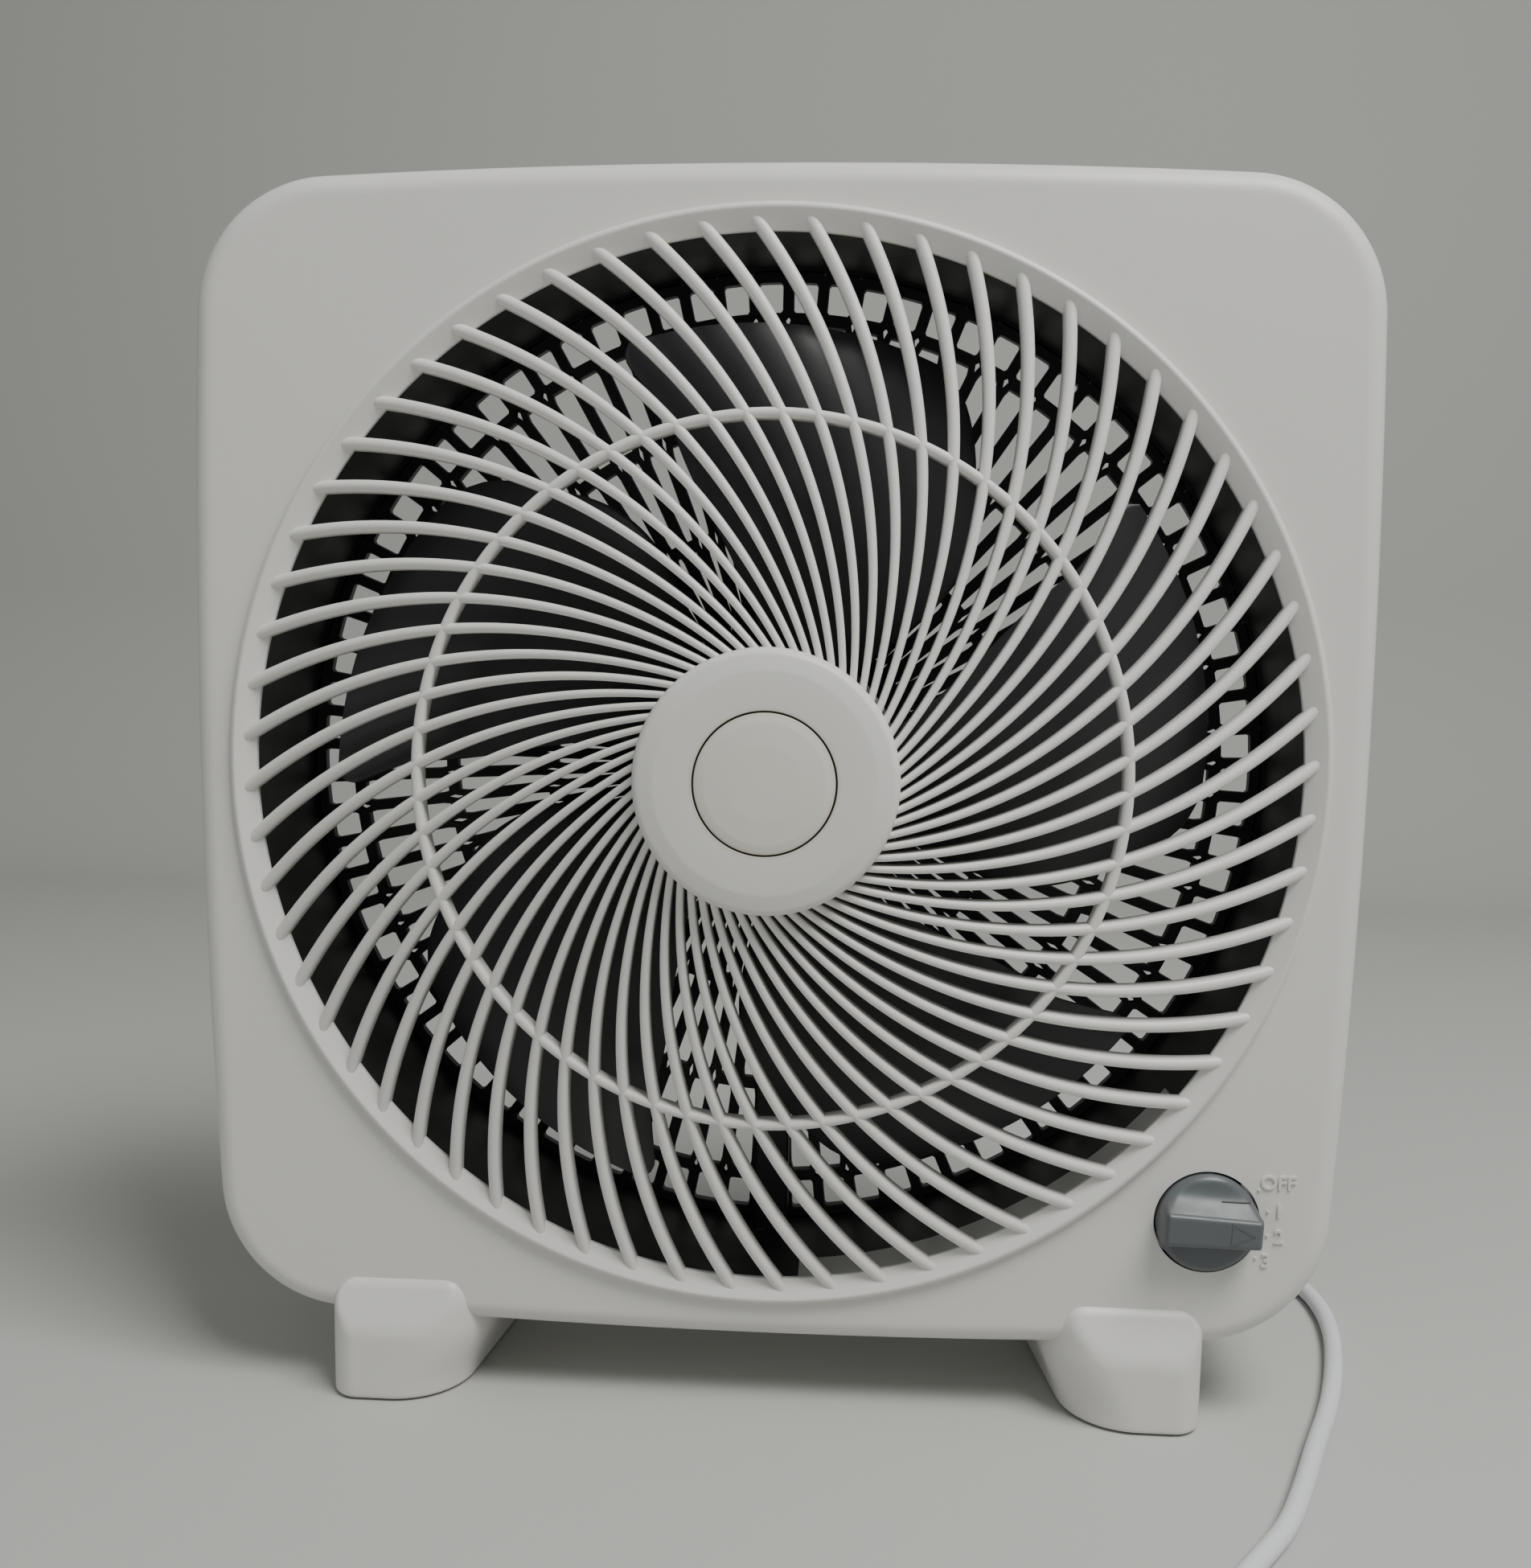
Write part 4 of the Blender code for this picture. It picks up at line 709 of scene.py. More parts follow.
def makeFoot(name, side):
    # stacked plan outlines, whose inner side moves inwards with height by a smooth step. The front
    # is the larger of the plan's y and a leaning plane y = front + slope * (z - crease), and the
    # width closes in a quarter circle at the top.
    f = foot
    low = f["soleZ"]
    turn = np.linspace(0, np.pi / 2, 6)
    heights = np.concatenate([
        low + f["soleRound"] * (1 - np.cos(turn)),
        np.linspace(low + 0.004, f["creaseZ"] - 0.003, 9),
        np.linspace(f["creaseZ"] - 0.002, f["coverZ"], 14),
        np.linspace(f["coverZ"] + 0.0002, f["topZ"], 26),
    ])
    rings = []
    for h in heights:
        share = min(1.0, max(0.0, (h - low) / (f["creaseZ"] - low)))
        share = share * share * (3 - 2 * share)
        innerFront = f["innerFrontX"] - f["flareFront"] * share
        innerRound = f["innerRound"] + (f["innerRoundTop"] - f["innerRound"]) * share
        middle = (innerFront + f["outerX"]) / 2
        plan = rounded([
            (innerFront, f["frontY"], innerRound), (f["outerX"], f["frontY"], f["outerRound"]),
            (f["outerX"], f["rearY"], f["rearRound"]),
            (f["innerRearX"] - f["flareRear"] * share, f["rearY"], f["rearRound"]),
        ], 16)
        along = np.roll(plan, -1, 0) - np.roll(plan, 1, 0)
        along /= np.linalg.norm(along, axis=1, keepdims=True) + 1e-12
        outward = np.stack([along[:, 1], -along[:, 0]], 1)
        under = max(0.0, 1 - (h - low) / f["soleRound"])
        ring = plan - outward * f["soleRound"] * (1 - math.sqrt(1 - under * under))
        rise = max(0.0, h - (f["topZ"] - f["topRound"])) / f["topRound"]
        narrow = f["topRound"] * (1 - math.sqrt(max(0.0, 1 - rise * rise)))
        x = middle + (ring[:, 0] - middle) * (1 - narrow / (f["outerX"] - middle))
        lean = f["frontY"] + f["slope"] * (h - f["creaseZ"])
        lean += max(0.0, h - (f["topZ"] - 0.003)) ** 2 / 0.006
        near = np.clip(1 - np.abs(ring[:, 1] - lean) / f["blend"], 0, None)
        y = np.maximum(ring[:, 1], lean) + near * near * f["blend"] / 4
        if h > f["coverZ"]:
            y = np.minimum(y, casing["depth"] - 0.0006)
        rings.append(np.stack([side * x, y, np.full(len(x), h)], 1))
    return makePiece(name, [loft(rings)], finish["whiteMoulding"], "housing",
                     sharp=60)


makeCasing()
makeBay()
makeFoot("footRight", 1)
makeFoot("footLeft", -1)
print("casing made")


grille = {
    "ribs": 64,
    "arcRadius": 0.1913,
    "arcCentre": 0.1701,
    "phase": 1.77,
    "hub": 0.0422,
    "ring": 0.1150,
    "rimInner": 0.1731,
    "hubY": -0.0322,
    "rimY": -0.0093,
    "bulge": 0.0012,
}


def grilleTop(r):
    # straight cone from hub to rim with a slight bulge towards the front
    t = (r - grille["hub"]) / (casing["opening"] - grille["hub"])
    return grille["hubY"] + (grille["rimY"] - grille["hubY"]) * t - 4 * grille["bulge"] * t * (1 - t)


def ribSection(width, depth):
    # half ellipse on top, sides with a little draft, flat back
    a = np.linspace(0, np.pi, 9)
    side = np.concatenate([np.cos(a), [-1.05, -0.92, 0.92, 1.05]])
    crown = np.concatenate([1 - np.sin(a), [0, 0, 0, 0]])
    deep = np.concatenate([np.zeros(9), [1, 1, 1, 1]])
    trim = np.concatenate([np.zeros(9), [-0.0004, 0, 0, -0.0004]])
    across = side * width[..., None] / 2
    down = crown * 0.44 * width[..., None] + deep * depth[..., None] + trim
    return across, down


def makeRibs(stations=34):
    # a rib's middle line is a circular arc in front view: centre at arcCentre, radius arcRadius
    r = np.linspace(grille["hub"] - 0.0015, casing["opening"] + 0.0018, stations)
    c, big = grille["arcCentre"], grille["arcRadius"]
    lean = np.arccos((r * r + c * c - big * big) / (2 * r * c))
    width = np.interp(r, [grille["hub"], 0.115, 0.177], [0.0022, 0.0034, 0.0041])
    depth = np.interp(r, [grille["hub"], 0.150, 0.177], [0.0070, 0.0070, 0.0052])
    turn = np.radians(grille["phase"]) + 2 * np.pi * np.arange(grille["ribs"])[:, None] / grille["ribs"]
    angle = turn - lean
    mid = np.stack([r * np.cos(angle), r * np.sin(angle)], -1)
    centre = np.stack([c * np.cos(turn), c * np.sin(turn)], -1)
    across = (centre - mid) / big
    side, down = ribSection(width, depth)
    flat = mid[:, :, None, :] + across[:, :, None, :] * side[None, :, :, None]
    y = np.broadcast_to((grilleTop(r)[:, None] + down)[None], flat.shape[:3])
    points = np.stack([flat[..., 0], y, flat[..., 1]], -1)
    ends = points[:, [0, -1]].mean(2, keepdims=True)
    ends = np.broadcast_to(ends, (points.shape[0], 2, points.shape[2], 3))
    full = np.concatenate([ends[:, :1], points, ends[:, 1:]], 1)
    cells = gridFaces(full.shape[1], full.shape[2], wrapCols=True)
    count = full.shape[1] * full.shape[2]
    faces = (cells[None] + (np.arange(grille["ribs"]) * count)[:, None, None]).reshape(-1, 4)
    return shell(full, faces)


def makeGrille():
    # rim, middle ring and hub are profiles turned round the blade axis; the ribs cross all three
    r0 = casing["opening"]
    rim = rounded([
        (r0 + 0.0053, faceY - 0.0001, 0), (r0 + 0.0051, faceY - 0.0021, 0.0010),
        (r0 + 0.0036, faceY - 0.0032, 0.0013), (grille["rimInner"], faceY + 0.0006, 0.0005),
        (grille["rimInner"], faceY + 0.0024, 0.0003), (r0 - 0.0010, faceY + 0.0024, 0.0003),
        (r0 - 0.0010, faceY - 0.0001, 0),
    ], 5)
    ringFront = grilleTop(grille["ring"]) + 0.0001
    w = 0.0017
    inner, outer, ringBack = grille["ring"] - w, grille["ring"] + w, ringFront + 0.0066
    ring = rounded([(inner, ringFront, w * 0.95), (outer, ringFront, w * 0.95),
                    (outer, ringBack, 0.0003), (inner, ringBack, 0.0003)], 6)
    hubY = grille["hubY"]
    hub = rounded([
        (0.0, hubY - 0.0054, 0), (0.0226, hubY - 0.0054, 0), (0.0226, hubY - 0.0076, 0.0003),
        (0.0350, hubY - 0.0071, 0.0080), (0.0415, hubY - 0.0058, 0.0028),
        (0.0422, hubY - 0.0010, 0.0020), (0.0422, hubY + 0.0078, 0.0002),
        (0.0396, hubY + 0.0078, 0.0002), (0.0396, hubY - 0.0010, 0.0004), (0.0, hubY - 0.0010, 0),
    ], 7)
    skins = [turned(rim, 288), turned(ring, 256), turned(hub, 144), makeRibs()]
    return makePiece("frontGrille", skins, finish["grilleMoulding"], "housing", ["front_grille"],
                     sharp=42)


def makeBadge():
    # plain disc with a soft crown, turned round the blade axis
    y = grille["hubY"] - 0.0076
    profile = rounded([
        (0, y + 0.0018, 0), (0.0221, y + 0.0018, 0), (0.0221, y - 0.0001, 0.0004),
        (0.0190, y - 0.0006, 0.003), (0.0120, y - 0.0010, 0.004), (0.0, y - 0.0012, 0),
    ], 5)
    return makePiece("badgeDisc", [turned(profile, 144)], finish["badgeCream"], "housing",
                     ["badge_disc"])


makeGrille()
makeBadge()
print("front grille made")


def edgeDrop(inside, radius):
    # how far a rounded edge falls below its flat, at a distance inside the border
    d = np.clip(1 - inside / radius, 0, 1)
    return radius * (1 - np.sqrt(np.clip(1 - d * d, 0, 1)))


def knobFront(x, z):
    # base: a low dome with a rounded rim. Grip: the dome is raised to the grip's flat front by a
    # share of 1 across the bar, which runs out above it as (1 - z) to a power, so that it meets
    # the dome without a fold. The bar's edges and its left end are quarter circles.
    k = knob
    r = np.hypot(x, z)
    base = faceY - 0.0026 - 0.0016 * (1 - (r / k["base"]) ** 2) + edgeDrop(k["base"] - r, 0.0024)
    half = k["gripWide"] / 2
    share = np.clip((z - half) / k["flare"], 0, 1)
    side = np.where(z < -half, 0.0, np.where(z > half, (1 - share) ** k["flarePower"], 1.0))
    soft = edgeDrop(np.where(z < 0, z + half, half - z), k["gripRound"]) * (np.abs(z) <= half)
    soft += np.where(z > half, k["gripRound"] * side, 0)
    end = np.clip((x - k["gripFrom"]) / k["gripEnd"], 0, 1)
    end = np.sqrt(np.clip(1 - (1 - end) ** 2, 0, 1))
    return base + (faceY - k["gripTop"] - base + soft) * side * end


def makeKnob():
    k = knob
    kx, kz = k["at"]
    half, radius, tip = k["gripWide"] / 2, k["base"], k["gripTo"]
    round90 = 1 - np.cos(np.linspace(0, np.pi / 2, 7))
    z = np.concatenate([
        -radius * np.cos(np.linspace(0.02, 0.9, 14)), np.linspace(-radius * 0.6, -half - 0.0004, 6),
        [-half - 0.00012], -half + k["gripRound"] * round90,
        np.linspace(-half + 0.0015, half - 0.0015, 8), half - k["gripRound"] * round90[::-1],
        half + k["flare"] * np.linspace(0.02, 1, 22) ** 1.5,
        np.linspace(half + k["flare"] + 0.0006, radius * 0.985, 8), [radius * 0.9998],
    ])
    z = np.unique(z)
    u = np.sin(np.pi / 2 * np.linspace(-1, 1, 91))
    reach = np.sqrt(radius**2 - z**2)
    right = np.where(np.abs(z) <= half, tip, reach)
    x = (right - reach)[:, None] / 2 + (right + reach)[:, None] / 2 * u
    zz = np.broadcast_to(z[:, None], x.shape)
    rightEnd = edgeDrop(right[:, None] - x, k["gripRound"])
    front = knobFront(x, zz) + rightEnd * (zz > -half) * (zz < half + 0.004)
    taper = -0.0004 * np.sign(zz) * np.interp(np.abs(zz), [0, half, radius], [0, 1, 0])
    taper = taper * (1 + x / radius)
    top = np.stack([x, front, zz + taper], -1)
    back = np.stack([x[:, ::-1], np.full_like(x, 0.0), (zz + taper)[:, ::-1]], -1)
    skins = [loft(np.concatenate([top, back], 1))]

    def line(a, b, wide=0.00030, rise=0.00014, steps=9):
        # fine raised line that follows the surface from a to b
        t = np.linspace(0, 1, steps)[:, None]
        a, b = np.array(a), np.array(b)
        mid = a + (b - a) * t
        way = (b - a) / np.linalg.norm(b - a)
        side = np.array([-way[1], way[0]]) * wide / 2
        rows = []
        for s, up in ((-1, -0.0003), (-1, rise), (1, rise), (1, -0.0003)):
            flat = mid + side * s
            rows.append(np.stack([flat[:, 0], knobFront(mid[:, 0], mid[:, 1]) - up, flat[:, 1]], 1))
        return loft(np.stack(rows, 1))

    skins += [line((0.0058, -0.0040), (0.0058, 0.0042)), line((0.0064, 0.0034), (0.0132, -0.0002)),
              line((0.0064, -0.0034), (0.0132, 0.0002)), line((0.0030, 0.0094), (0.0126, 0.0094))]
    turn = math.radians(k["restAngle"])
    placed = []
    for points, faces in skins:
        x, y, z = points.T
        x, z = x * math.cos(turn) - z * math.sin(turn), x * math.sin(turn) + z * math.cos(turn)
        placed.append((np.stack([kx + x, y, kz + z], 1), faces))
    return makePiece("speedKnob", placed, finish["slateGrey"], "knob", ["speed_knob"],
                     sharp=50)


dial = {
    "dots": (35.6, 12.7, -11.1, -35.5),
    "dotCircle": 0.0204,
    "labels": (
        ("OFF", 0.1722, -0.1328), ("1", 0.1728, -0.1425),
        ("2", 0.1733, -0.1515), ("3", 0.1693, -0.1599),
    ),
    "height": 0.0047,
    "rise": 0.00050,
}


def makeDial():
    # raised dots and figures on the face, in the casing's own plastic
    kx, kz = knob["at"]
    dots = []
    for angle in np.radians(dial["dots"]):
        x, z = kx + dial["dotCircle"] * math.cos(angle), kz + dial["dotCircle"] * math.sin(angle)
        top = faceY - dial["rise"]
        profile = rounded([(0, faceY + 0.0003, 0), (0.00055, faceY + 0.0003, 0),
                           (0.00055, top, 0.0002), (0, top - 0.00004, 0)], 3)
        dots.append(turned(profile, 18, centre=(x, 0, z)))
    makePiece("dialDots", dots, finish["whiteMoulding"], "housing")
    for n, (text, x, z) in enumerate(dial["labels"]):
        letters = bpy.data.curves.new("letters", "FONT")
        letters.body = text
        letters.size = dial["height"] * 1.42
        letters.extrude = dial["rise"]
        letters.bevel_depth = 0.00010
        letters.offset = 0.00005
        letters.align_x, letters.align_y = "CENTER", "CENTER"
        source = bpy.data.objects.new("letters", letters)
        bpy.context.scene.collection.objects.link(source)
        graph = bpy.context.evaluated_depsgraph_get()
        mesh = bpy.data.meshes.new_from_object(source.evaluated_get(graph))
        bpy.data.objects.remove(source)
        stand = Matrix.Translation(Vector(place) + Vector((x, faceY, z)))
        mesh.transform(stand @ Matrix.Rotation(math.pi / 2, 4, "X"))
        weldPoints(mesh, 1e-7)
        mesh.materials.clear()
        mesh.materials.append(finish["whiteMoulding"])
        piece = bpy.data.objects.new(f"dialLabel_{n}", mesh)
        bpy.context.scene.collection.objects.link(piece)
        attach(piece, "housing")


makeKnob()
makeDial()
print("knob and dial made")


rear = {
    "coverFrom": 0.0563,
    "edge": 0.0080,
    "duct": 0.1786,
    "ductWall": 0.0022,
    "bars": 85,
    "barWide": 0.0041,
    "rows": ((0.1635, 0.1741), (0.1272, 0.1590), (0.0886, 0.1227), (0.0541, 0.0841)),
    "front": 0.0625,
    "back": 0.0665,
    "slotRound": 0.0006,
    "slotEase": 0.0005,
    "turn": 0.71,
}


def makeCover():
    # the outline closes in by a quarter circle at the back edge, runs in flat to the duct, goes
    # forward along it to the casing's front wall and comes back inside
    e, w, back = rear["edge"], casing["wall"], casing["backPlane"]
    y0 = rear["coverFrom"]
    rings = [ringAt(w, y0 + 0.0003), ringAt(w - 0.0003, y0), ringAt(0.0003, y0)]
    rings += [ringAt(0.0, y0 + 0.0003)]
    for a in np.radians(np.linspace(0, 90, 10)):
        rings.append(ringAt(e * (1 - math.cos(a)), back - e + e * math.sin(a)))
    r, front = rear["duct"], faceY + w + 0.0006
    outer = r + rear["ductWall"]
    rings += [ringAt(e + 0.001, back), circleAt(r + 0.0060, back), circleAt(r + 0.0012, back),
              circleAt(r + 0.0003, back - 0.0003), circleAt(r, back - 0.0012), circleAt(r, 0.030),
              circleAt(r, front + 0.0002), circleAt(r + 0.0002, front), circleAt(outer, front),
              circleAt(outer, back - w), ringAt(e + 0.001, back - w)]
    for a in np.radians(np.linspace(75, 0, 5)):
        rings.append(ringAt(w + (e - w) * (1 - math.cos(a)), back - e + (e - w) * math.sin(a)))
    piece = makePiece("rearCover", [band(rings)], finish["blackMoulding"], "housing",
                      ["rear_cover"])
    smoothArea(piece)
    return piece


def squareLoop(points=24):
    # points evenly round the edge of a square that reaches from -1 to 1
    t = (np.arange(points) + 0.5) / points * 4
    side = t.astype(int) % 4
    u = (t % 1) * 2 - 1
    a = np.choose(side, [u, np.ones_like(u), -u, -np.ones_like(u)])
    b = np.choose(side, [-np.ones_like(u), u, np.ones_like(u), -u])
    return a, b


def slotEdge(a, b, half, tall, corner):
    # the square drawn to half by tall. A point in a corner comes in towards the corner's centre
    # until it is as far from it as the larger of its two steps
    x, y = a * half, b * tall
    dx, dy = np.abs(x) - (half - corner), np.abs(y) - (tall - corner)
    inCorner = (dx > 0) & (dy > 0)
    scale = np.maximum(dx, dy) / (np.hypot(dx, dy) + 1e-12)
    x = np.where(inCorner, np.sign(x) * (half - corner + dx * scale), x)
    y = np.where(inCorner, np.sign(y) * (tall - corner + dy * scale), y)
    return x, y


def slotRow(n, edges):
    # one row of slots. Each is a cell of a polar net: its square border on the back runs in to the
    # rounded hole, through it, and out again to the border in front
    low, high = rear["rows"][n]
    top, bottom = edges[n], edges[n + 1]
    middle, pitch = (low + high) / 2, 2 * np.pi / rear["bars"]
    half = (pitch * middle - rear["barWide"]) / 2
    a, b = squareLoop()
    x, y = slotEdge(a, b, half, (high - low) / 2, rear["slotRound"])
    holeR = middle + y
    holeTurn = x / half * (pitch * holeR - rear["barWide"]) / 2 / holeR
    cellR = middle + np.where(b > 0, top - middle, middle - bottom) * b
    cellTurn = a * pitch / 2
    centre = (np.arange(rear["bars"]) + rear["turn"]) * pitch
    loops = []
    for share, depth in ((0, rear["back"]), (1, rear["back"]), (1, rear["front"] + rear["slotEase"]),
                         (0.88, rear["front"]), (0, rear["front"])):
        r = cellR + (holeR - cellR) * share
        angle = centre[:, None] + (cellTurn + (holeTurn - cellTurn) * share)[None]
        loops.append(np.stack([r * np.cos(angle), np.full_like(angle, depth), r * np.sin(angle)], -1))
    net = np.stack(loops, 1)
    cells = gridFaces(net.shape[1], net.shape[2], wrapCols=True)
    starts = np.arange(rear["bars"]) * net.shape[1] * net.shape[2]
    return net.reshape(-1, 3), (cells[None] + starts[:, None, None]).reshape(-1, 4)


def makeRearGrille():
    # rows of slots between rings that halve the space from row to row, a plate and an outer wall
    rows, front, back = rear["rows"], rear["front"], rear["back"]
    edges = [rear["duct"] - 0.0004]
    edges += [(rows[n][0] + rows[n + 1][1]) / 2 for n in range(len(rows) - 1)]
    edges += [rows[-1][0] - 0.0022]
    plate = rounded([
        (0, front, 0), (edges[-1] + 0.0005, front, 0.0001), (edges[-1] + 0.0005, back, 0.0001),
        (0.0450, back, 0.001), (0.0440, back + 0.0010, 0.0008), (0.0150, back + 0.0010, 0.0010),
        (0.0140, back + 0.0004, 0.0008), (0, back + 0.0004, 0),
    ], 4)
    r = edges[0]
    wall = [(r - 0.0006, front), (r, front), (r, back), (r - 0.0006, back)]
    skins = [slotRow(n, edges) for n in range(len(rows))]
    skins += [turned(plate, 172), turned(wall, 172)]
    return makePiece("rearGrille", skins, finish["blackMoulding"], "housing", ["rear_grille"],
                     sharp=35)


def makeChannel(thick=0.0016):
    # a U section, its outer path and then its inner path, drawn down the channel. The ends are open
    low, high = (np.array(corner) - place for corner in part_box("cable_channel"))
    x0, y0, x1, y1 = low[0], low[1], high[0], high[1]
    section = rounded([
        (x0, y1, 0), (x0, y0, 0.0014), (x1, y0, 0.0014), (x1, y1, 0), (x1 - thick, y1, 0),
        (x1 - thick, y0 + thick, 0.0006), (x0 + thick, y0 + thick, 0.0006), (x0 + thick, y1, 0),
    ], 4)
    rings = [np.stack([section[:, 0], section[:, 1], np.full(len(section), z)], 1)
             for z in np.linspace(low[2], high[2], 6)]
    skin = shell(rings, gridFaces(len(rings), len(section), wrapCols=True))
    return makePiece("cableChannel", [skin], finish["blackMoulding"], "housing",
                     ["cable_channel"])


makeCover()
makeRearGrille()
makeChannel()
print("rear made")


blade = {
    "count": 5,
    "hub": 0.0400,
    "tip": 0.1500,
    "thick": 0.0020,
    "sweep": 58.0,
    "backY": 0.0174,
    "frontY": -0.0146,
}


def makeBlade(radial=40, along=26):
    # a blade is a grid over radius u and chord v. The chord's angle is a sweep times v, its y falls
    # along the chord with a sine camber, and the skin stands off by half a thickness either side
    u = np.linspace(0, 1, radial)[:, None]
    e = np.linspace(0, 2 * np.pi, 2 * along, endpoint=False)[None]
    v = 0.5 - 0.5 * np.cos(e)
    tipTuck = 1 - 0.5 * np.clip((u - 0.93) / 0.07, 0, 1) ** 2
    r = blade["hub"] - 0.0012 + (blade["tip"] - blade["hub"]) * u
    back = blade["backY"] - 0.001 + 0.013 * u
    depth = 0.024 + 0.002 * u
    sweep = math.radians(blade["sweep"]) * (0.72 + 0.28 * np.sin(np.pi * np.minimum(u, 0.75)))
    tipRound = 1 - 0.10 * np.clip((u - 0.9) / 0.1, 0, 1) ** 3
    angle = 0.30 * u * u + sweep * (v - 0.5) * (1 - 0.16 * u**4) * tipRound
    thick = blade["thick"] * np.sign(np.sin(e)) * np.abs(np.sin(e)) ** 0.35 * tipTuck / 2
    y = back - depth * v - 0.0035 * np.sin(np.pi * v) + thick
    turn = (2 * np.pi * np.arange(blade["count"]) / blade["count"])[:, None, None]
    angle = angle[None] + turn
    rr = np.broadcast_to(r[None], angle.shape)
    y = np.broadcast_to(y[None], angle.shape)
    points = np.stack([rr * np.cos(angle), y, rr * np.sin(angle)], -1)
    ends = points[:, [0, -1]].mean(2, keepdims=True)
    ends = np.broadcast_to(ends, (blade["count"], 2, points.shape[2], 3))
    tipEnd = (points[:, -1:] + np.roll(points[:, -1:, ::-1], 1, 2)) / 2
    full = np.concatenate([ends[:, :1], points, tipEnd], 1)
    cells = gridFaces(full.shape[1], full.shape[2], wrapCols=True)
    count = full.shape[1] * full.shape[2]
    faces = (cells[None] + (np.arange(blade["count"]) * count)[:, None, None]).reshape(-1, 4)
    y0, y1 = blade["frontY"], blade["backY"]
    hub = rounded([
        (0.0043, y0, 0.0004), (0.030, y0 + 0.0005, 0.004), (0.0385, y0 + 0.0040, 0.006),
        (0.0400, y0 + 0.0110, 0.003), (0.0400, y1, 0.0005), (0.0378, y1, 0.0005),
        (0.0378, y0 + 0.0115, 0.002), (0.0290, y0 + 0.0030, 0.003), (0.0085, y0 + 0.0026, 0.0005),
        (0.0085, y0 + 0.0180, 0.0003), (0.0043, y0 + 0.0180, 0),
    ], 5)
    skins = [shell(full, faces), turned(hub, 96)]
    return makePiece("fanBlade", skins, finish["bladeGrey"], "rotor", ["fan_blade"],
                     sharp=45)


def makeNut():
    # hand nut: the rim's radius dips by a cosine with nine waves round the turn
    y1 = blade["frontY"] - 0.0003
    y0 = y1 - 0.0100
    profile = rounded([(0, y0, 0), (0.0070, y0 + 0.0006, 0.001), (0.0094, y0 + 0.0025, 0.001),
                       (0.0098, y1, 0.0004), (0.0043, y1, 0), (0.0043, y0 + 0.0014, 0),
                       (0, y0 + 0.0014, 0)], 5)
    points, faces = turned(profile, 120)
    x, y, z = points.T
    r = np.hypot(x, z)
    a = np.arctan2(z, x)
    grip = np.clip((r - 0.0065) / 0.003, 0, 1)
    r = r - 0.0007 * grip * (0.5 - 0.5 * np.cos(9 * a))
    points = np.stack([r * np.cos(a), y, r * np.sin(a)], 1)
    return makePiece("bladeNut", [(points, faces)], finish["bladeGrey"], "rotor", ["blade_nut"],
                     sharp=45)


makeBlade()
makeNut()
print("blade made")


screws = {
    "kinds": {"case_screw": ("caseScrew", 0.0016), "motor_screw": ("motorScrew", 0.0018)},
    "headShare": 2.1,
    "headHigh": 0.0020,
    "threadPitch": 0.0007,
    "threadDeep": 0.10,
}


def makeScrews():
    # dished head on a shank whose radius swings by a sine along it, as a fine thread does
    for node in [f"{kind}_{n}" for n in (1, 2, 3, 4) for kind in screws["kinds"]]:
        name, shank = screws["kinds"][node[:-2]]
        low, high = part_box(node)
        cx, cz = (low.x + high.x) / 2, (low.z + high.z) / 2 - place[2]
        y0, y1 = low.y - place[1], high.y - place[1]
        head, base = screws["headShare"] * shank, y1 - screws["headHigh"]
        t = np.linspace(y0, base, 60)
        wave = np.abs(np.sin((t - y0) / screws["threadPitch"] * np.pi))
        screwR = shank * (1 - screws["threadDeep"] * (1 - wave))
        profile = np.concatenate([[[0, y0]], np.stack([screwR, t], 1), [
            [head, base], [head * 0.98, base + 0.0004], [head * 0.80, base + 0.0013],
            [head * 0.5, base + 0.0018], [head * 0.42, base + 0.0018],
            [head * 0.36, base + 0.0010], [0, base + 0.0009],
        ]])
        skin = turned(profile, 24, centre=(cx, 0, cz))
        makePiece(name + node[-2:], [skin], finish["brightSteel"], "housing", [node],
                  sharp=35)


makeScrews()
print("screws made")


keeps = {
    "motor_lead": "cordWhite", "motor_front_shield": "zincCasting", "motor_rear_shield": "zincCasting",
    "stator_core": "laminatedIron", "front_winding": "copperWire", "rear_winding": "copperWire",
    "front_bearing": "brightSteel", "rear_bearing": "brightSteel", "capacitor": "capacitorCase",
    "switch_body": "blackMoulding", "switch_bracket": "brightSteel", "switch_spindle": "brightSteel",
    "rotor_core": "brightSteel", "motor_shaft": "brightSteel", "drive_pin": "brightSteel",
    "foot_pad_1": "footRubber", "foot_pad_2": "footRubber", "foot_pad_3": "footRubber",
    "foot_pad_4": "footRubber",
}
for node, name in keeps.items():
    piece = frame["nodes"][node]
    piece.data.materials.clear()
    piece.data.materials.append(finish[name])
print("packed pieces finished")


studio = {
    "ground": (0.50, 0.50, 0.48),
    "wallAt": 1.10,
    "bend": 0.35,
    "key": 33.0,
    "fill": 2.0,
    "sky": 0.30,
}


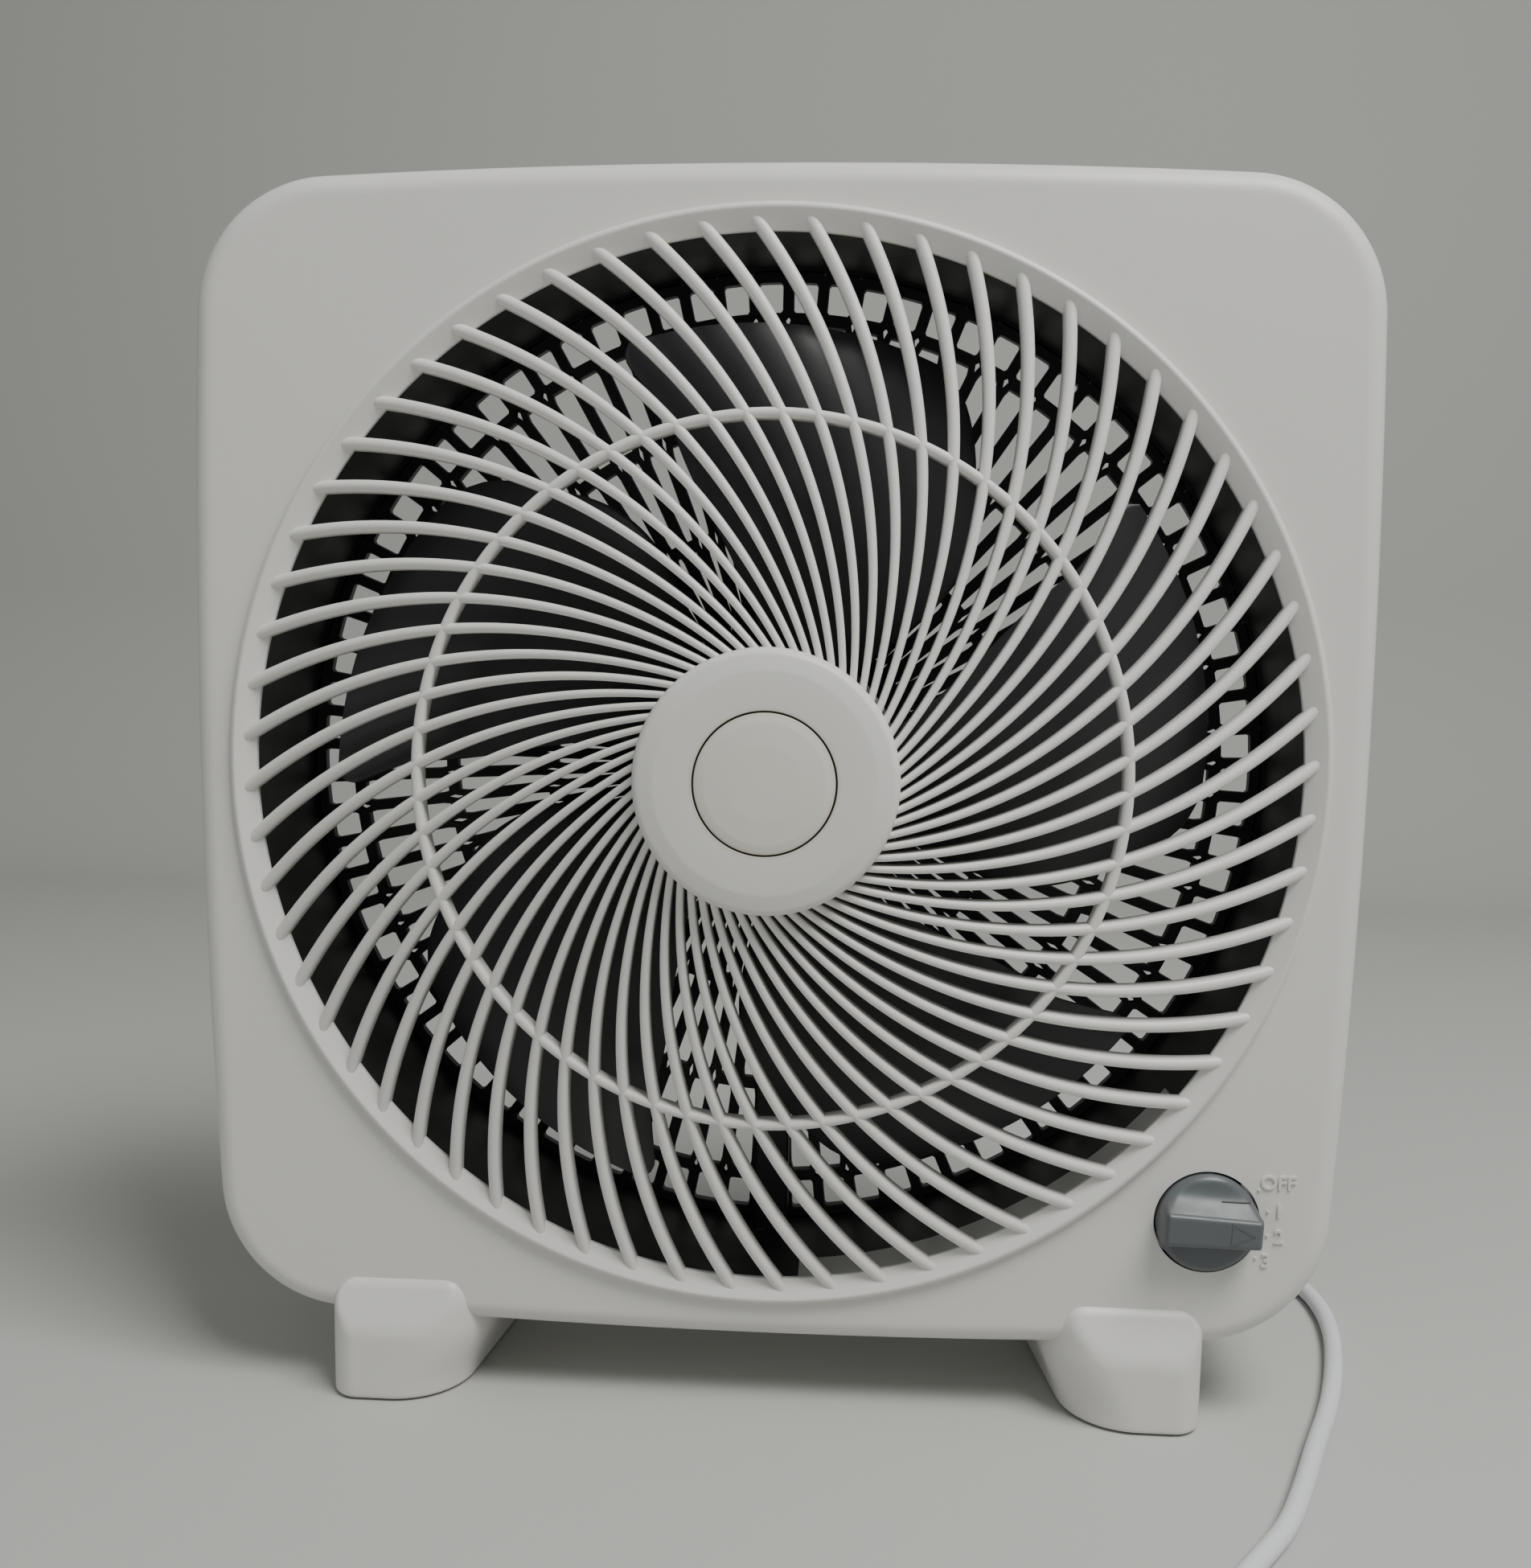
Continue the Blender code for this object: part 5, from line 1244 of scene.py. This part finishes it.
def makeStage():
    # a floor that bends up into a wall behind
    a = np.linspace(0, np.pi / 2, 24)
    y = np.concatenate([[-4.0, 0.0], studio["wallAt"] + studio["bend"] * np.sin(a)])
    z = np.concatenate([[0.0, 0.0], studio["bend"] * (1 - np.cos(a))])
    y, z = np.append(y, y[-1]), np.append(z, 4.0)
    x = np.array([-5.0, 5.0])[:, None] * np.ones(len(y))
    points = np.stack([x, np.broadcast_to(y, x.shape), np.broadcast_to(z, x.shape)], -1)
    faces = gridFaces(2, len(y))
    mesh = bpy.data.meshes.new("floor")
    mesh.from_pydata(points.reshape(-1, 3).tolist(), [], faces[:, ::-1].tolist())
    mesh.shade_smooth()
    floor = bpy.data.objects.new("floor", mesh)
    bpy.context.scene.collection.objects.link(floor)
    made, tree, shader = blank("paleFloor")
    where = tree.nodes.new("ShaderNodeTexCoord").outputs["Object"]
    base = np.array(studio["ground"])
    share = spread(tree, noiseNode(tree, where, 1.3), 0, 1)
    tone = blendColour(tree, share, tuple(base * 0.985), tuple(base * 1.01))
    link(tree, tone, shader.inputs["Base Color"])
    shader.inputs["Roughness"].default_value = 0.75
    shader.inputs["Specular IOR Level"].default_value = 0.2
    mesh.materials.append(made)


def areaLight(name, at, towards, size, power, tint):
    lamp = bpy.data.lights.new(name, "AREA")
    lamp.shape = "RECTANGLE"
    lamp.size, lamp.size_y = size
    lamp.energy = power
    lamp.color = tint
    holder = bpy.data.objects.new(name, lamp)
    bpy.context.scene.collection.objects.link(holder)
    holder.location = at
    way = Vector(towards) - Vector(at)
    holder.rotation_euler = way.to_track_quat("-Z", "Y").to_euler()


def makeLight():
    areaLight("keyLight", (0.70, -0.66, 1.68), (0.0, 0.0, 0.22), (0.9, 0.7), studio["key"],
              (1.0, 0.99, 0.97))
    areaLight("fillLight", (-1.3, -1.3, 0.9), (0.0, 0.0, 0.2), (1.4, 1.4), studio["fill"],
              (0.97, 0.99, 1.0))
    sky = bpy.data.worlds.new("sky")
    sky.use_nodes = True
    sky.node_tree.nodes["Background"].inputs["Color"].default_value = (0.94, 0.97, 0.95, 1.0)
    sky.node_tree.nodes["Background"].inputs["Strength"].default_value = studio["sky"]
    bpy.context.scene.world = sky


makeStage()
makeLight()
print("stage made")
